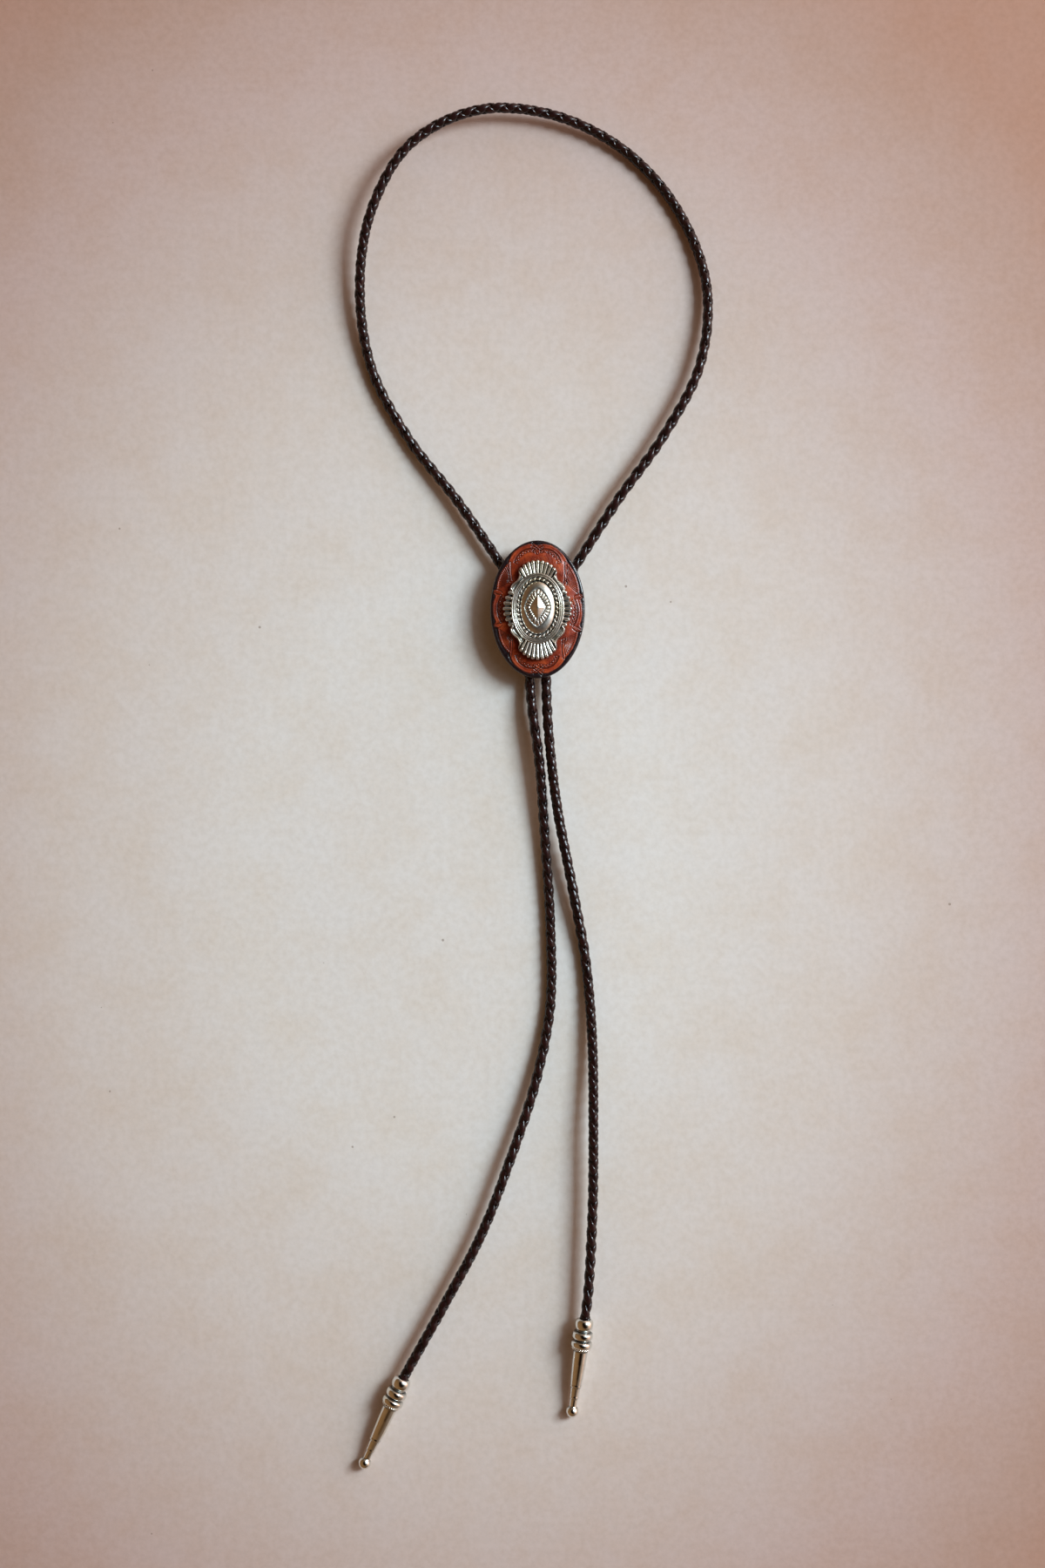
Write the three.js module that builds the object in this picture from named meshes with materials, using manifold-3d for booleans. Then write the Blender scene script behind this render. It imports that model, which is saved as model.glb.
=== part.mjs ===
// Bolo tie: a braided cord with two metal tips, held by a slide made of a cast
// concho on an oval of tooled leather, with a cord clip on its back.
//
// Millimetres. The tie lies on its back on the surface z = 0. +Y points up the
// tie towards the neck loop, +X to the right, +Z towards whoever looks at it.
// The origin is the middle of the cord clip's flat back.
import * as THREE from 'three';
import { mergeVertices } from 'three/addons/utils/BufferGeometryUtils.js';
import Module from 'manifold-3d';

const wasm = await Module();
wasm.setup();

// ---------------------------------------------------------------- driving sizes
const CORD_D = 3.6;            // cord diameter
const CORD_SIDES = 8;          // sides of the cord's section
const CORD_STEPS = 84;         // sections along the cord
const FINE_STEP = 5.0;         // their spacing at the clip and the tips
const LONG_STEP = 14.0;        // and elsewhere, before both are fitted to the length
const GAP = 0.3;               // clearance kept between neighbouring pieces
const SLIDE_Y = 9.5;           // centre of the concho above the clip's centre

const CLIP_WALL = 0.8;         // walls of the clip's sleeve
const CLIP_BORE_R = 2.35;      // the two cord channels
const CLIP_PITCH = 5.9;        // distance between the two channels
const CLIP_LENGTH = 15;        // length of the sleeve along the cords
const CLIP_PLATE_T = 1.0;      // plate on top of the sleeve
const CLIP_PLATE_W = 15;       // plate width
const CLIP_PLATE_TOP = 16;     // how far the plate reaches above the origin
const POST_R = 1.5;            // post through the leather into the concho
const POST_INTO_CONCHO = 1.6;  // depth of the post inside the concho

const LEATHER_RX = 16.4;       // leather oval, half width
const LEATHER_RY = 23.9;       // leather oval, half height
const LEATHER_T = 3.0;         // leather thickness
const LEATHER_ROUND = 1.1;     // rounding of its edge
const BORDER_INSET = 2.0;      // groove round the leather, in from its edge
const BORDER_W = 0.7;          // width of that groove
const BORDER_DEPTH = 0.35;     // depth of that groove

const CONCHO_BASE_T = 1.3;     // concho's flat base
const RING_RX = 9.15;          // outer oval ring, half width
const RING_RY = 12.15;         // outer oval ring, half height
const ROPE_RX = 6.8;           // rope ring's centreline, half width
const ROPE_RY = 10.0;          // rope ring's centreline, half height
const ROPE_COUNT = 33;         // twists in the rope ring
const DOME_RX = 6.15;          // dome, half width
const DOME_RY = 9.0;           // dome, half height
const RIDGE_COUNT = 24;        // ridges round the diamond
const DIAMOND_RX = 2.7;        // diamond, half width
const DIAMOND_RY = 4.5;        // diamond, half height
const FAN_RIBS = 9;            // ribs in each end fan
const SIDE_RIBS = 7;           // ribs on each side

const TIP_LENGTH = 35.4;       // a tip, end to end
const TIP_SOCKET_R = 2.4;      // socket for the cord
const TIP_SOCKET_DEPTH = 8.0;
const CORD_IN_TIP = 6.5;       // how far the cord goes into a tip

// ---------------------------------------------------------------- derived levels
const CORD_R = CORD_D / 2;
const CHANNEL_Z = CLIP_WALL + CLIP_BORE_R;               // cord centre in the clip
const PLATE_Z0 = CLIP_WALL + 2 * CLIP_BORE_R;            // underside of the plate
const PLATE_Z1 = PLATE_Z0 + CLIP_PLATE_T;
const LEATHER_Z0 = PLATE_Z1 + GAP;
const LEATHER_Z1 = LEATHER_Z0 + LEATHER_T;
const CONCHO_Z0 = LEATHER_Z1 + GAP;

// ---------------------------------------------------------------- helpers
const solidOf = (geometry) => {
  const g = geometry.index ? geometry.toNonIndexed() : geometry.clone();
  for (const name of Object.keys(g.attributes)) if (name !== 'position') g.deleteAttribute(name);
  const m = mergeVertices(g, 1e-4);
  const tris = [];
  const ix = m.index.array;
  for (let i = 0; i < ix.length; i += 3) {
    const [a, b, c] = [ix[i], ix[i + 1], ix[i + 2]];
    if (a !== b && b !== c && c !== a) tris.push(a, b, c);
  }
  return new wasm.Manifold(new wasm.Mesh({
    numProp: 3,
    vertProperties: Float32Array.from(m.attributes.position.array),
    triVerts: Uint32Array.from(tris),
  }));
};
const geometryOf = (solid) => {
  const mesh = solid.getMesh();
  const g = new THREE.BufferGeometry();
  const n = mesh.numProp;
  const xyz = new Float32Array((mesh.vertProperties.length / n) * 3);
  for (let i = 0; i < xyz.length / 3; i++) {
    for (let k = 0; k < 3; k++) xyz[3 * i + k] = mesh.vertProperties[n * i + k];
  }
  g.setAttribute('position', new THREE.BufferAttribute(xyz, 3));
  g.setIndex(Array.from(mesh.triVerts));
  return g;
};
const placed = (geometry, move = [0, 0, 0], turnZ = 0, scale = [1, 1, 1]) => {
  const g = geometry.clone();
  g.scale(...scale);
  g.rotateZ(turnZ);
  g.translate(...move);
  return g;
};
const cylinderZ = (r, z0, z1, x = 0, y = 0, sides = 24) => {
  const g = new THREE.CylinderGeometry(r, r, z1 - z0, sides, 1);
  g.rotateX(Math.PI / 2);
  g.translate(x, y, (z0 + z1) / 2);
  return g;
};
const latheZ = (rows, sides) => {
  const g = new THREE.LatheGeometry(rows.map(({ r, z }) => new THREE.Vector2(r, z)), sides);
  g.rotateX(Math.PI / 2);
  return g;
};
const clamp01 = (t) => Math.min(1, Math.max(0, t));
const smooth = (t) => { const u = clamp01(t); return u * u * (3 - 2 * u); };

// ---------------------------------------------------------------- tips
// s runs along the tip from the cord's side, r is the outer radius there.
const TIP_PROFILE = [
  { s: 0.00, r: 2.70 }, { s: 0.55, r: 2.95 }, { s: 1.30, r: 3.18 }, { s: 2.10, r: 3.22 },
  { s: 2.90, r: 3.12 }, { s: 3.60, r: 2.80 }, { s: 4.05, r: 2.55 }, { s: 4.45, r: 2.62 },
  { s: 4.75, r: 3.30 }, { s: 5.40, r: 3.62 }, { s: 6.40, r: 3.68 }, { s: 7.10, r: 3.35 },
  { s: 7.45, r: 2.75 }, { s: 7.75, r: 2.75 }, { s: 8.10, r: 3.45 }, { s: 8.80, r: 3.78 },
  { s: 9.90, r: 3.80 }, { s: 10.70, r: 3.40 }, { s: 11.10, r: 2.75 }, { s: 11.40, r: 2.58 },
  { s: 16.00, r: 2.45 }, { s: 21.20, r: 2.18 }, { s: 23.60, r: 2.00 }, { s: 24.00, r: 2.10 },
  { s: 24.50, r: 1.78 }, { s: 27.80, r: 1.52 }, { s: 28.10, r: 1.64 }, { s: 28.60, r: 1.38 },
  { s: 31.30, r: 1.28 }, { s: 31.75, r: 1.70 }, { s: 32.50, r: 2.10 }, { s: 33.20, r: 2.20 },
  { s: 34.00, r: 2.07 }, { s: 34.75, r: 1.60 }, { s: 35.25, r: 0.85 }, { s: TIP_LENGTH, r: 0.0 },
];
// The tip rests on its widest ring and on its ball: the slope of its axis and its
// height at the cord's end follow from the two.
const ringRow = TIP_PROFILE.find((row) => row.s === 9.90);
const ballRow = TIP_PROFILE.find((row) => row.s === 33.20);
const TIP_SLOPE = Math.asin((ringRow.r - ballRow.r) / (ballRow.s - ringRow.s));
const TIP_MOUTH_Z = Math.max(...TIP_PROFILE.map(
  ({ s, r }) => r * Math.cos(TIP_SLOPE) + s * Math.sin(TIP_SLOPE)));
// mouth: where the cord enters; the tip points along angle (degrees from +X).
const TIPS = [
  { name: 'tip_left', x: -46.7, y: -257.8, angle: 245.6 },
  { name: 'tip_right', x: 16.5, y: -237.1, angle: 262.4 },
];

// ---------------------------------------------------------------- cord route
// One line through the middle of the cord, from inside the left tip, up the left
// tail, through the clip, round the neck loop and back down to the right tip. z is the
// height of that line: the stiff cord touches down in four places and arches between.
const ROUTE = [
  { x: -32.9, y: -233.0, z: 4.9 }, { x: -19.8, y: -208.3, z: 4.9 },
  { x: -9.68, y: -182.2, z: 4.6 }, { x: -0.91, y: -155.8, z: 3.3 },
  { x: 4.4, y: -128.8, z: 1.9 }, { x: 4.5, y: -100.9, z: 1.8 },
  { x: 2.79, y: -72.9, z: 2.4 }, { x: 0.78, y: -45.0, z: 4.4 },
  { x: -1.9, y: -24.5, z: 4.6 }, { x: -2.95, y: -10.0, z: 3.6 },
  { x: -2.95, y: -1.0, z: 3.15 }, { x: -2.95, y: 7.0, z: 3.15 },
  { x: -4.6, y: 13.0, z: 3.3 }, { x: -8.2, y: 18.8, z: 3.5 },
  { x: -12.53, y: 25.2, z: 3.6 }, { x: -28.1, y: 47.9, z: 3.0 },
  { x: -45.2, y: 69.9, z: 1.9 }, { x: -58.0, y: 94.3, z: 1.9 },
  { x: -61.9, y: 120.9, z: 4.4 }, { x: -57.9, y: 147.4, z: 7.0 },
  { x: -44.2, y: 170.8, z: 7.8 }, { x: -20.0, y: 182.8, z: 7.4 },
  { x: 7.26, y: 181.3, z: 4.4 }, { x: 31.7, y: 169.1, z: 2.1 },
  { x: 49.5, y: 148.5, z: 1.8 }, { x: 59.0, y: 122.5, z: 2.8 },
  { x: 56.5, y: 94.8, z: 4.9 }, { x: 43.9, y: 70.2, z: 5.6 },
  { x: 27.9, y: 47.7, z: 5.5 }, { x: 13.2, y: 25.0, z: 4.1 },
  { x: 8.6, y: 18.6, z: 3.7 }, { x: 4.7, y: 13.0, z: 3.35 },
  { x: 2.95, y: 7.0, z: 3.15 }, { x: 2.95, y: -1.0, z: 3.15 },
  { x: 2.95, y: -10.0, z: 3.5 }, { x: 3.67, y: -31.1, z: 4.6 },
  { x: 6.75, y: -58.8, z: 5.2 }, { x: 11.96, y: -86.0, z: 3.6 },
  { x: 16.9, y: -113.6, z: 1.8 }, { x: 19.1, y: -141.1, z: 3.4 },
  { x: 19.4, y: -168.6, z: 5.4 }, { x: 19.2, y: -196.4, z: 5.5 },
  { x: 17.9, y: -224.2, z: 5.3 },
];
const inTip = ({ x, y, angle }, s) => {
  const a = THREE.MathUtils.degToRad(angle);
  const flat = s * Math.cos(TIP_SLOPE);
  return { x: x + flat * Math.cos(a), y: y + flat * Math.sin(a) };
};
const [LEFT, RIGHT] = TIPS;
const plan = [
  inTip(LEFT, CORD_IN_TIP), inTip(LEFT, 0), ...ROUTE, inTip(RIGHT, 0), inTip(RIGHT, CORD_IN_TIP),
].map(({ x, y }) => new THREE.Vector3(x, y, 0));
const [first, last] = [ROUTE[0], ROUTE[ROUTE.length - 1]];
const heights = [first, first, ...ROUTE, last, last].map(({ z }) => new THREE.Vector3(0, 0, z));

// Height of the cord's centre: the route's own, led into each tip along its axis and
// brought to the channel's level through the clip.
const TIP_RISE = 24;           // length over which it is led into a tip
const CLIP_RISE = 18;          // length over which it is brought to the clip
const nearTip = (d, level) => {
  const s = CORD_IN_TIP - d;
  const slope = Math.sin(TIP_SLOPE);
  if (s >= 0) return TIP_MOUTH_Z - s * slope;
  const t = clamp01(-s / TIP_RISE);
  return level + (TIP_MOUTH_Z - level) * (2 * t ** 3 - 3 * t ** 2 + 1)
    + slope * TIP_RISE * (t ** 3 - 2 * t ** 2 + t);
};
class CordLine extends THREE.Curve {
  constructor(points, rise) {
    super();
    this.flat = new THREE.CatmullRomCurve3(points, false, 'catmullrom', 0.5);
    this.rise = new THREE.CatmullRomCurve3(rise, false, 'catmullrom', 0.5);
    this.flat.arcLengthDivisions = 4000;
    this.arcLengthDivisions = 4000;
    this.total = this.flat.getLength();
    // share of the sections used up by each distance along the line: they stand
    // closer together where the cord runs through the clip and into the tips
    const lengths = this.flat.getLengths();
    const point = new THREE.Vector3();
    this.used = [0];
    for (let i = 1; i < lengths.length; i++) {
      this.flat.getPoint(i / (lengths.length - 1), point);
      const fromClip = Math.abs(point.x) < 20 ? Math.max(0, Math.abs(point.y) - 11) / 14 : 1;
      const fromEnd = Math.max(0, Math.min(lengths[i], this.total - lengths[i]) - 14) / 16;
      const step = FINE_STEP + (LONG_STEP - FINE_STEP) * smooth(Math.min(fromClip, fromEnd));
      this.used.push(this.used[i - 1] + (lengths[i] - lengths[i - 1]) / step);
    }
  }
  getUtoTmapping(u) {
    const target = u * this.used[this.used.length - 1];
    let [low, high] = [0, this.used.length - 1];
    while (high - low > 1) {
      const mid = (low + high) >> 1;
      if (this.used[mid] <= target) low = mid; else high = mid;
    }
    const share = (target - this.used[low]) / (this.used[high] - this.used[low]);
    return (low + share) / (this.used.length - 1);
  }
  getPoint(t, target = new THREE.Vector3()) {
    const p = this.flat.getPoint(t, target);
    const lengths = this.flat.getLengths();
    const at = t * (lengths.length - 1);
    const i = Math.min(Math.floor(at), lengths.length - 2);
    const d = lengths[i] + (at - i) * (lengths[i + 1] - lengths[i]);
    const outside = Math.max(0, Math.abs(p.y) - CLIP_LENGTH / 2 - 1);
    const clip = Math.abs(p.x) < 40 ? 1 - smooth(outside / CLIP_RISE) : 0;
    const level = Math.max(CORD_R, this.rise.getPoint(t).z);
    p.z = nearTip(this.total - d, nearTip(d, level + clip * (CHANNEL_Z - level)));
    return p;
  }
  // the section stays level: it doesn't twist as the line rises, falls and turns
  computeFrenetFrames(segments) {
    const up = new THREE.Vector3(0, 0, 1);
    const frames = { tangents: [], normals: [], binormals: [] };
    for (let i = 0; i <= segments; i++) {
      const tangent = this.getTangentAt(i / segments, new THREE.Vector3());
      const side = new THREE.Vector3().crossVectors(tangent, up).normalize();
      const down = new THREE.Vector3().crossVectors(tangent, side);
      frames.tangents.push(tangent);
      frames.normals.push(down);
      frames.binormals.push(new THREE.Vector3().crossVectors(tangent, down));
    }
    return frames;
  }
}
const cordLine = new CordLine(plan, heights);
const cordSection = new THREE.Shape();
for (let i = 0; i < CORD_SIDES; i++) {
  const a = ((i + 0.5) / CORD_SIDES) * 2 * Math.PI;
  const r = CORD_R / Math.cos(Math.PI / CORD_SIDES);
  if (i === 0) cordSection.moveTo(r * Math.cos(a), r * Math.sin(a));
  else cordSection.lineTo(r * Math.cos(a), r * Math.sin(a));
}
const cordGeometry = new THREE.ExtrudeGeometry(cordSection, {
  steps: CORD_STEPS, extrudePath: cordLine, bevelEnabled: false,
});

// ---------------------------------------------------------------- tip solids
const tipGeometry = () => {
  const outer = TIP_PROFILE.map(({ s, r }) => new THREE.Vector2(r, s));
  const inner = [
    new THREE.Vector2(0, TIP_SOCKET_DEPTH), new THREE.Vector2(TIP_SOCKET_R, TIP_SOCKET_DEPTH),
    new THREE.Vector2(TIP_SOCKET_R, 0),
  ];
  const g = new THREE.LatheGeometry([...inner, ...outer], 14);
  return g;   // axis +Y, from the cord's side to the ball
};

// ---------------------------------------------------------------- leather oval
const ovalShape = (rx, ry, parts = 48) => {
  const shape = new THREE.Shape();
  for (let i = 0; i < parts; i++) {
    const a = (i / parts) * 2 * Math.PI;
    if (i === 0) shape.moveTo(rx * Math.cos(a), ry * Math.sin(a));
    else shape.lineTo(rx * Math.cos(a), ry * Math.sin(a));
  }
  return shape;
};
const ovalSlab = (rx, ry, z0, z1, parts) => {
  const g = new THREE.ExtrudeGeometry(ovalShape(rx, ry, parts), {
    depth: z1 - z0, bevelEnabled: false, steps: 1,
  });
  g.translate(0, SLIDE_Y, z0);
  return g;
};
const leather = () => {
  const round = new THREE.ExtrudeGeometry(ovalShape(LEATHER_RX, LEATHER_RY), {
    depth: LEATHER_T - 2 * LEATHER_ROUND, steps: 1, bevelEnabled: true,
    bevelThickness: LEATHER_ROUND, bevelSize: LEATHER_ROUND, bevelOffset: -LEATHER_ROUND, bevelSegments: 3,
  });
  round.translate(0, SLIDE_Y, LEATHER_Z0 + LEATHER_ROUND);
  const top = LEATHER_Z1;
  const groove = solidOf(ovalSlab(LEATHER_RX - BORDER_INSET, LEATHER_RY - BORDER_INSET, top - BORDER_DEPTH, top + 1, 48))
    .subtract(solidOf(ovalSlab(
      LEATHER_RX - BORDER_INSET - BORDER_W, LEATHER_RY - BORDER_INSET - BORDER_W, top - 1, top + 2, 48)));
  const hole = solidOf(cylinderZ(POST_R + GAP, LEATHER_Z0 - 1, top + 1, 0, SLIDE_Y));
  return geometryOf(solidOf(round).subtract(groove).subtract(hole));
};

// ---------------------------------------------------------------- clip and post
const clip = () => {
  const halfW = CLIP_PITCH / 2 + CLIP_BORE_R + CLIP_WALL;
  const sleeveShape = new THREE.Shape();
  const round = 1.6;
  sleeveShape.moveTo(-halfW + round, 0);
  sleeveShape.lineTo(halfW - round, 0);
  sleeveShape.quadraticCurveTo(halfW, 0, halfW, round);
  sleeveShape.lineTo(halfW, PLATE_Z0 + 0.5);
  sleeveShape.lineTo(-halfW, PLATE_Z0 + 0.5);
  sleeveShape.lineTo(-halfW, round);
  sleeveShape.quadraticCurveTo(-halfW, 0, -halfW + round, 0);
  const sleeve = new THREE.ExtrudeGeometry(sleeveShape, {
    depth: CLIP_LENGTH, bevelEnabled: false, curveSegments: 4,
  });
  sleeve.rotateX(Math.PI / 2);
  sleeve.translate(0, CLIP_LENGTH / 2, 0);
  const r = 3;
  const [x0, y0, x1, y1] = [-CLIP_PLATE_W / 2, -CLIP_LENGTH / 2, CLIP_PLATE_W / 2, CLIP_PLATE_TOP];
  const plateShape = new THREE.Shape();
  plateShape.moveTo(x0 + r, y0);
  plateShape.lineTo(x1 - r, y0);
  plateShape.quadraticCurveTo(x1, y0, x1, y0 + r);
  plateShape.lineTo(x1, y1 - r);
  plateShape.quadraticCurveTo(x1, y1, x1 - r, y1);
  plateShape.lineTo(x0 + r, y1);
  plateShape.quadraticCurveTo(x0, y1, x0, y1 - r);
  plateShape.lineTo(x0, y0 + r);
  plateShape.quadraticCurveTo(x0, y0, x0 + r, y0);
  const plate = new THREE.ExtrudeGeometry(plateShape, {
    depth: CLIP_PLATE_T, bevelEnabled: false, curveSegments: 5,
  });
  plate.translate(0, 0, PLATE_Z0);
  let solid = solidOf(sleeve).add(solidOf(plate))
    .add(solidOf(cylinderZ(POST_R, PLATE_Z0 + 0.3, CONCHO_Z0 + POST_INTO_CONCHO, 0, SLIDE_Y)));
  for (const side of [-1, 1]) {
    const bore = new THREE.CylinderGeometry(CLIP_BORE_R, CLIP_BORE_R, CLIP_LENGTH + 4, 24, 1);
    bore.translate(side * CLIP_PITCH / 2, 0, CHANNEL_Z);
    solid = solid.subtract(solidOf(bore));
  }
  return geometryOf(solid);
};

// ---------------------------------------------------------------- concho
// One quarter of the base's outline beside the fans: a waist and a shoulder lobe.
const SHOULDER = [
  { x: 6.35, y: 13.7 }, { x: 6.75, y: 12.6 }, { x: 6.55, y: 11.3 }, { x: 7.1, y: 10.0 },
  { x: 8.3, y: 9.0 }, { x: 9.3, y: 7.8 }, { x: 9.55, y: 6.6 }, { x: 9.1, y: 5.7 },
];
const FAN_CENTRE_Y = 3.5;      // the fan ribs point away from here
const FAN_LONG = 13.3;         // from there to the middle rib's end
const FAN_SHORT = 12.1;        // and to the outer ribs' ends
const FAN_SPREAD = 29.5;       // degrees, the outermost rib from the middle
const LOWER_STRETCH = 1.05;    // the lower half is this much taller
const fanEnd = (deg) => {
  const t = Math.abs(deg) / FAN_SPREAD;
  const l = FAN_LONG + (FAN_SHORT - FAN_LONG) * t * t;
  const a = THREE.MathUtils.degToRad(deg);
  return { x: l * Math.sin(a), y: FAN_CENTRE_Y + l * Math.cos(a) };
};
const baseOutline = () => {
  const upper = [];
  for (const row of [...SHOULDER].reverse()) upper.push([row.x, row.y]);
  for (let i = 0; i <= 8; i++) {
    const { x, y } = fanEnd(FAN_SPREAD * (1 - i / 4) * 0.98);
    upper.push([x, y - 0.35]);
  }
  for (const row of SHOULDER) upper.push([-row.x, row.y]);
  const side = [[-9.6, 4.6], [-10.6, 2.6], [-11.0, 0], [-10.6, -2.6], [-9.6, -4.6]];
  const lower = upper.map(([x, y]) => [-x, -y * LOWER_STRETCH]);
  const other = side.map(([x, y]) => [-x, -y]);
  return [...upper, ...side, ...lower, ...other];
};
const ribSolid = (x, y, turn, length, width, height, z0, parts = 6) => {
  const g = new THREE.CapsuleGeometry(0.5, Math.max(0.01, length / width - 1), 2, parts);
  return solidOf(placed(g, [x, y, z0], turn - Math.PI / 2, [width, width, 2 * height]));
};
const concho = () => {
  const shape = new THREE.Shape(baseOutline().map(([x, y]) => new THREE.Vector2(x, y)));
  const base = new THREE.ExtrudeGeometry(shape, {
    depth: CONCHO_BASE_T - 0.25, steps: 1, bevelEnabled: true,
    bevelThickness: 0.25, bevelSize: 0.25, bevelOffset: -0.25, bevelSegments: 1,
  });
  base.translate(0, 0, 0);
  // drop the lower bevel: the back is flat
  let solid = solidOf(base).subtract(solidOf(cylinderZ(30, -2, 0.01, 0, 0, 8)));
  const k = RING_RY / RING_RX;
  const T = CONCHO_BASE_T;
  const raised = latheZ([
    { r: 0, z: 0.4 }, { r: RING_RX, z: 0.4 }, { r: RING_RX, z: T + 0.45 }, { r: RING_RX - 0.25, z: T + 0.75 },
    { r: RING_RX - 0.55, z: T + 0.75 }, { r: RING_RX - 0.75, z: T + 0.55 }, { r: RING_RX - 0.95, z: T + 0.8 },
    { r: RING_RX - 1.2, z: T + 0.8 }, { r: RING_RX - 1.45, z: T + 0.45 }, { r: 6.55, z: T + 0.45 },
    { r: DOME_RX + 0.12, z: T + 0.25 }, { r: DOME_RX, z: T + 0.5 },
    { r: DOME_RX * 0.93, z: T + 1.15 }, { r: DOME_RX * 0.8, z: T + 1.55 }, { r: DOME_RX * 0.6, z: T + 1.85 },
    { r: DOME_RX * 0.3, z: T + 2.05 }, { r: 0, z: T + 2.1 },
  ], 36);
  solid = solid.add(solidOf(placed(raised, [0, 0, 0], 0, [1, k, 1])));
  for (let i = 0; i < ROPE_COUNT; i++) {
    const a = (i / ROPE_COUNT) * 2 * Math.PI;
    const along = Math.atan2(ROPE_RY * Math.cos(a), -ROPE_RX * Math.sin(a));
    const bead = new THREE.OctahedronGeometry(1);
    solid = solid.add(solidOf(placed(bead, [ROPE_RX * Math.cos(a), ROPE_RY * Math.sin(a), T + 0.62], along + 0.45, [0.98, 0.4, 0.42])));
  }
  for (let i = 0; i < FAN_RIBS; i++) {
    const deg = FAN_SPREAD * (2 * i / (FAN_RIBS - 1) - 1);
    for (const end of [1, -1]) {
      const tip = fanEnd(deg);
      const inner = 8.0;
      const a = THREE.MathUtils.degToRad(deg);
      const from = { x: inner * Math.sin(a), y: FAN_CENTRE_Y + inner * Math.cos(a) };
      const s = end > 0 ? 1 : LOWER_STRETCH;
      const [x0, y0, x1, y1] = [from.x, end * s * from.y, tip.x, end * s * tip.y];
      solid = solid.add(ribSolid((x0 + x1) / 2, (y0 + y1) / 2, Math.atan2(y1 - y0, x1 - x0),
        Math.hypot(x1 - x0, y1 - y0), 1.12, 0.62, T - 0.05));
    }
  }
  for (let i = 0; i < SIDE_RIBS; i++) {
    const j = i - (SIDE_RIBS - 1) / 2;
    for (const side of [1, -1]) {
      const y = 1.62 * j;
      const x1 = 12.0 - 0.2 * j * j;
      const x0 = 8.2 - 0.12 * j * j;
      const tilt = 0.1 * j * side;
      solid = solid.add(ribSolid(side * (x0 + x1) / 2, y + 0.05 * j, tilt, x1 - x0, 1.5, 0.75, T - 0.25));
    }
  }
  for (let i = 0; i < RIDGE_COUNT; i++) {
    const a = ((i + 0.5) / RIDGE_COUNT) * 2 * Math.PI;
    const [cx, cy] = [Math.cos(a), Math.sin(a)];
    const x = 3.35 * cx, y = 5.3 * cy;
    solid = solid.add(ribSolid(x, y, Math.atan2(cy * 1.1, cx), 1.7, 0.55, 0.3, T + 1.78, 4));
  }
  const diamond = new THREE.ConeGeometry(1, 2.0, 4, 1);
  diamond.rotateX(Math.PI / 2);
  diamond.rotateZ(Math.PI / 2);
  solid = solid.add(solidOf(placed(diamond, [0, 0, T + 2.35], 0, [DIAMOND_RX, DIAMOND_RY, 1])));
  solid = solid.subtract(solidOf(cylinderZ(POST_R + GAP, -1, POST_INTO_CONCHO + GAP, 0, 0)));
  const g = geometryOf(solid);
  g.translate(0, SLIDE_Y, CONCHO_Z0);
  return g;
};

// ---------------------------------------------------------------- the scene graph
const material = (color, roughness, metalness) =>
  new THREE.MeshStandardMaterial({ color, roughness, metalness });
const nickel = material(0xb9b0a3, 0.22, 1.0);
const part = (name, geometry, mat) => {
  const mesh = new THREE.Mesh(geometry, mat);
  mesh.name = name;
  return mesh;
};

const group = new THREE.Group();
group.add(part('braided_cord', cordGeometry, material(0x1d1112, 0.5, 0.0)));
group.add(part('leather_backing', leather(), material(0x8a3517, 0.45, 0.0)));
group.add(part('concho', concho(), material(0xa39a86, 0.32, 1.0)));
group.add(part('cord_clip', clip(), material(0x8f8a82, 0.4, 1.0)));
for (const { name, x, y, angle } of TIPS) {
  const tip = part(name, tipGeometry(), nickel);
  tip.rotation.order = 'ZYX';
  tip.rotation.set(-TIP_SLOPE, 0, THREE.MathUtils.degToRad(angle - 90));
  tip.position.set(x, y, TIP_MOUTH_Z);
  group.add(tip);
}

export default group;
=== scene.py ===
import math

import bpy
import numpy as np
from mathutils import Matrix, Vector


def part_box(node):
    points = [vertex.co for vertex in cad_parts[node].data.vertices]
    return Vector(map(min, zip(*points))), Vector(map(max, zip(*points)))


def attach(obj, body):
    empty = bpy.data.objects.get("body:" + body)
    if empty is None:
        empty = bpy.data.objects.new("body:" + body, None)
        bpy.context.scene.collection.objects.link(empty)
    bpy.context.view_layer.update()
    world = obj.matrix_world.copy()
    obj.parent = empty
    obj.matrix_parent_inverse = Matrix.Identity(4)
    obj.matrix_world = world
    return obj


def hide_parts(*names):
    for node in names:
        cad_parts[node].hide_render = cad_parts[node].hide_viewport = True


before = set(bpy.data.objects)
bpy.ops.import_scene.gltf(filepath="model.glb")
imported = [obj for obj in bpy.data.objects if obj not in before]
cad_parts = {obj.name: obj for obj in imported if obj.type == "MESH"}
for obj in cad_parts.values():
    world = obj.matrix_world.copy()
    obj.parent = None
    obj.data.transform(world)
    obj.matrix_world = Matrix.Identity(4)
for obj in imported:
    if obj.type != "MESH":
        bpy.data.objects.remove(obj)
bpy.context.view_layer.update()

MM = 0.001
SEED = 20261
KEY_POWER = 41.0
ROOM_STRENGTH = 1.08
ROOM_SIDES = [
    (0.0, (0.24, 0.13, 0.058)), (0.22, (0.185, 0.098, 0.042)), (0.42, (0.15, 0.080, 0.036)), (0.50, (0.11, 0.066, 0.042)),
    (0.70, (0.26, 0.20, 0.155)), (0.86, (1.05, 0.70, 0.54)), (1.0, (1.75, 1.15, 0.90)),
]
ROOM_LID = [(0.0, (1, 1, 1)), (0.72, (1, 1, 1)), (0.83, (0.08, 0.06, 0.055)), (1.0, (0.04, 0.03, 0.03))]

# ------------------------------------------------------------------ small helpers


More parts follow.
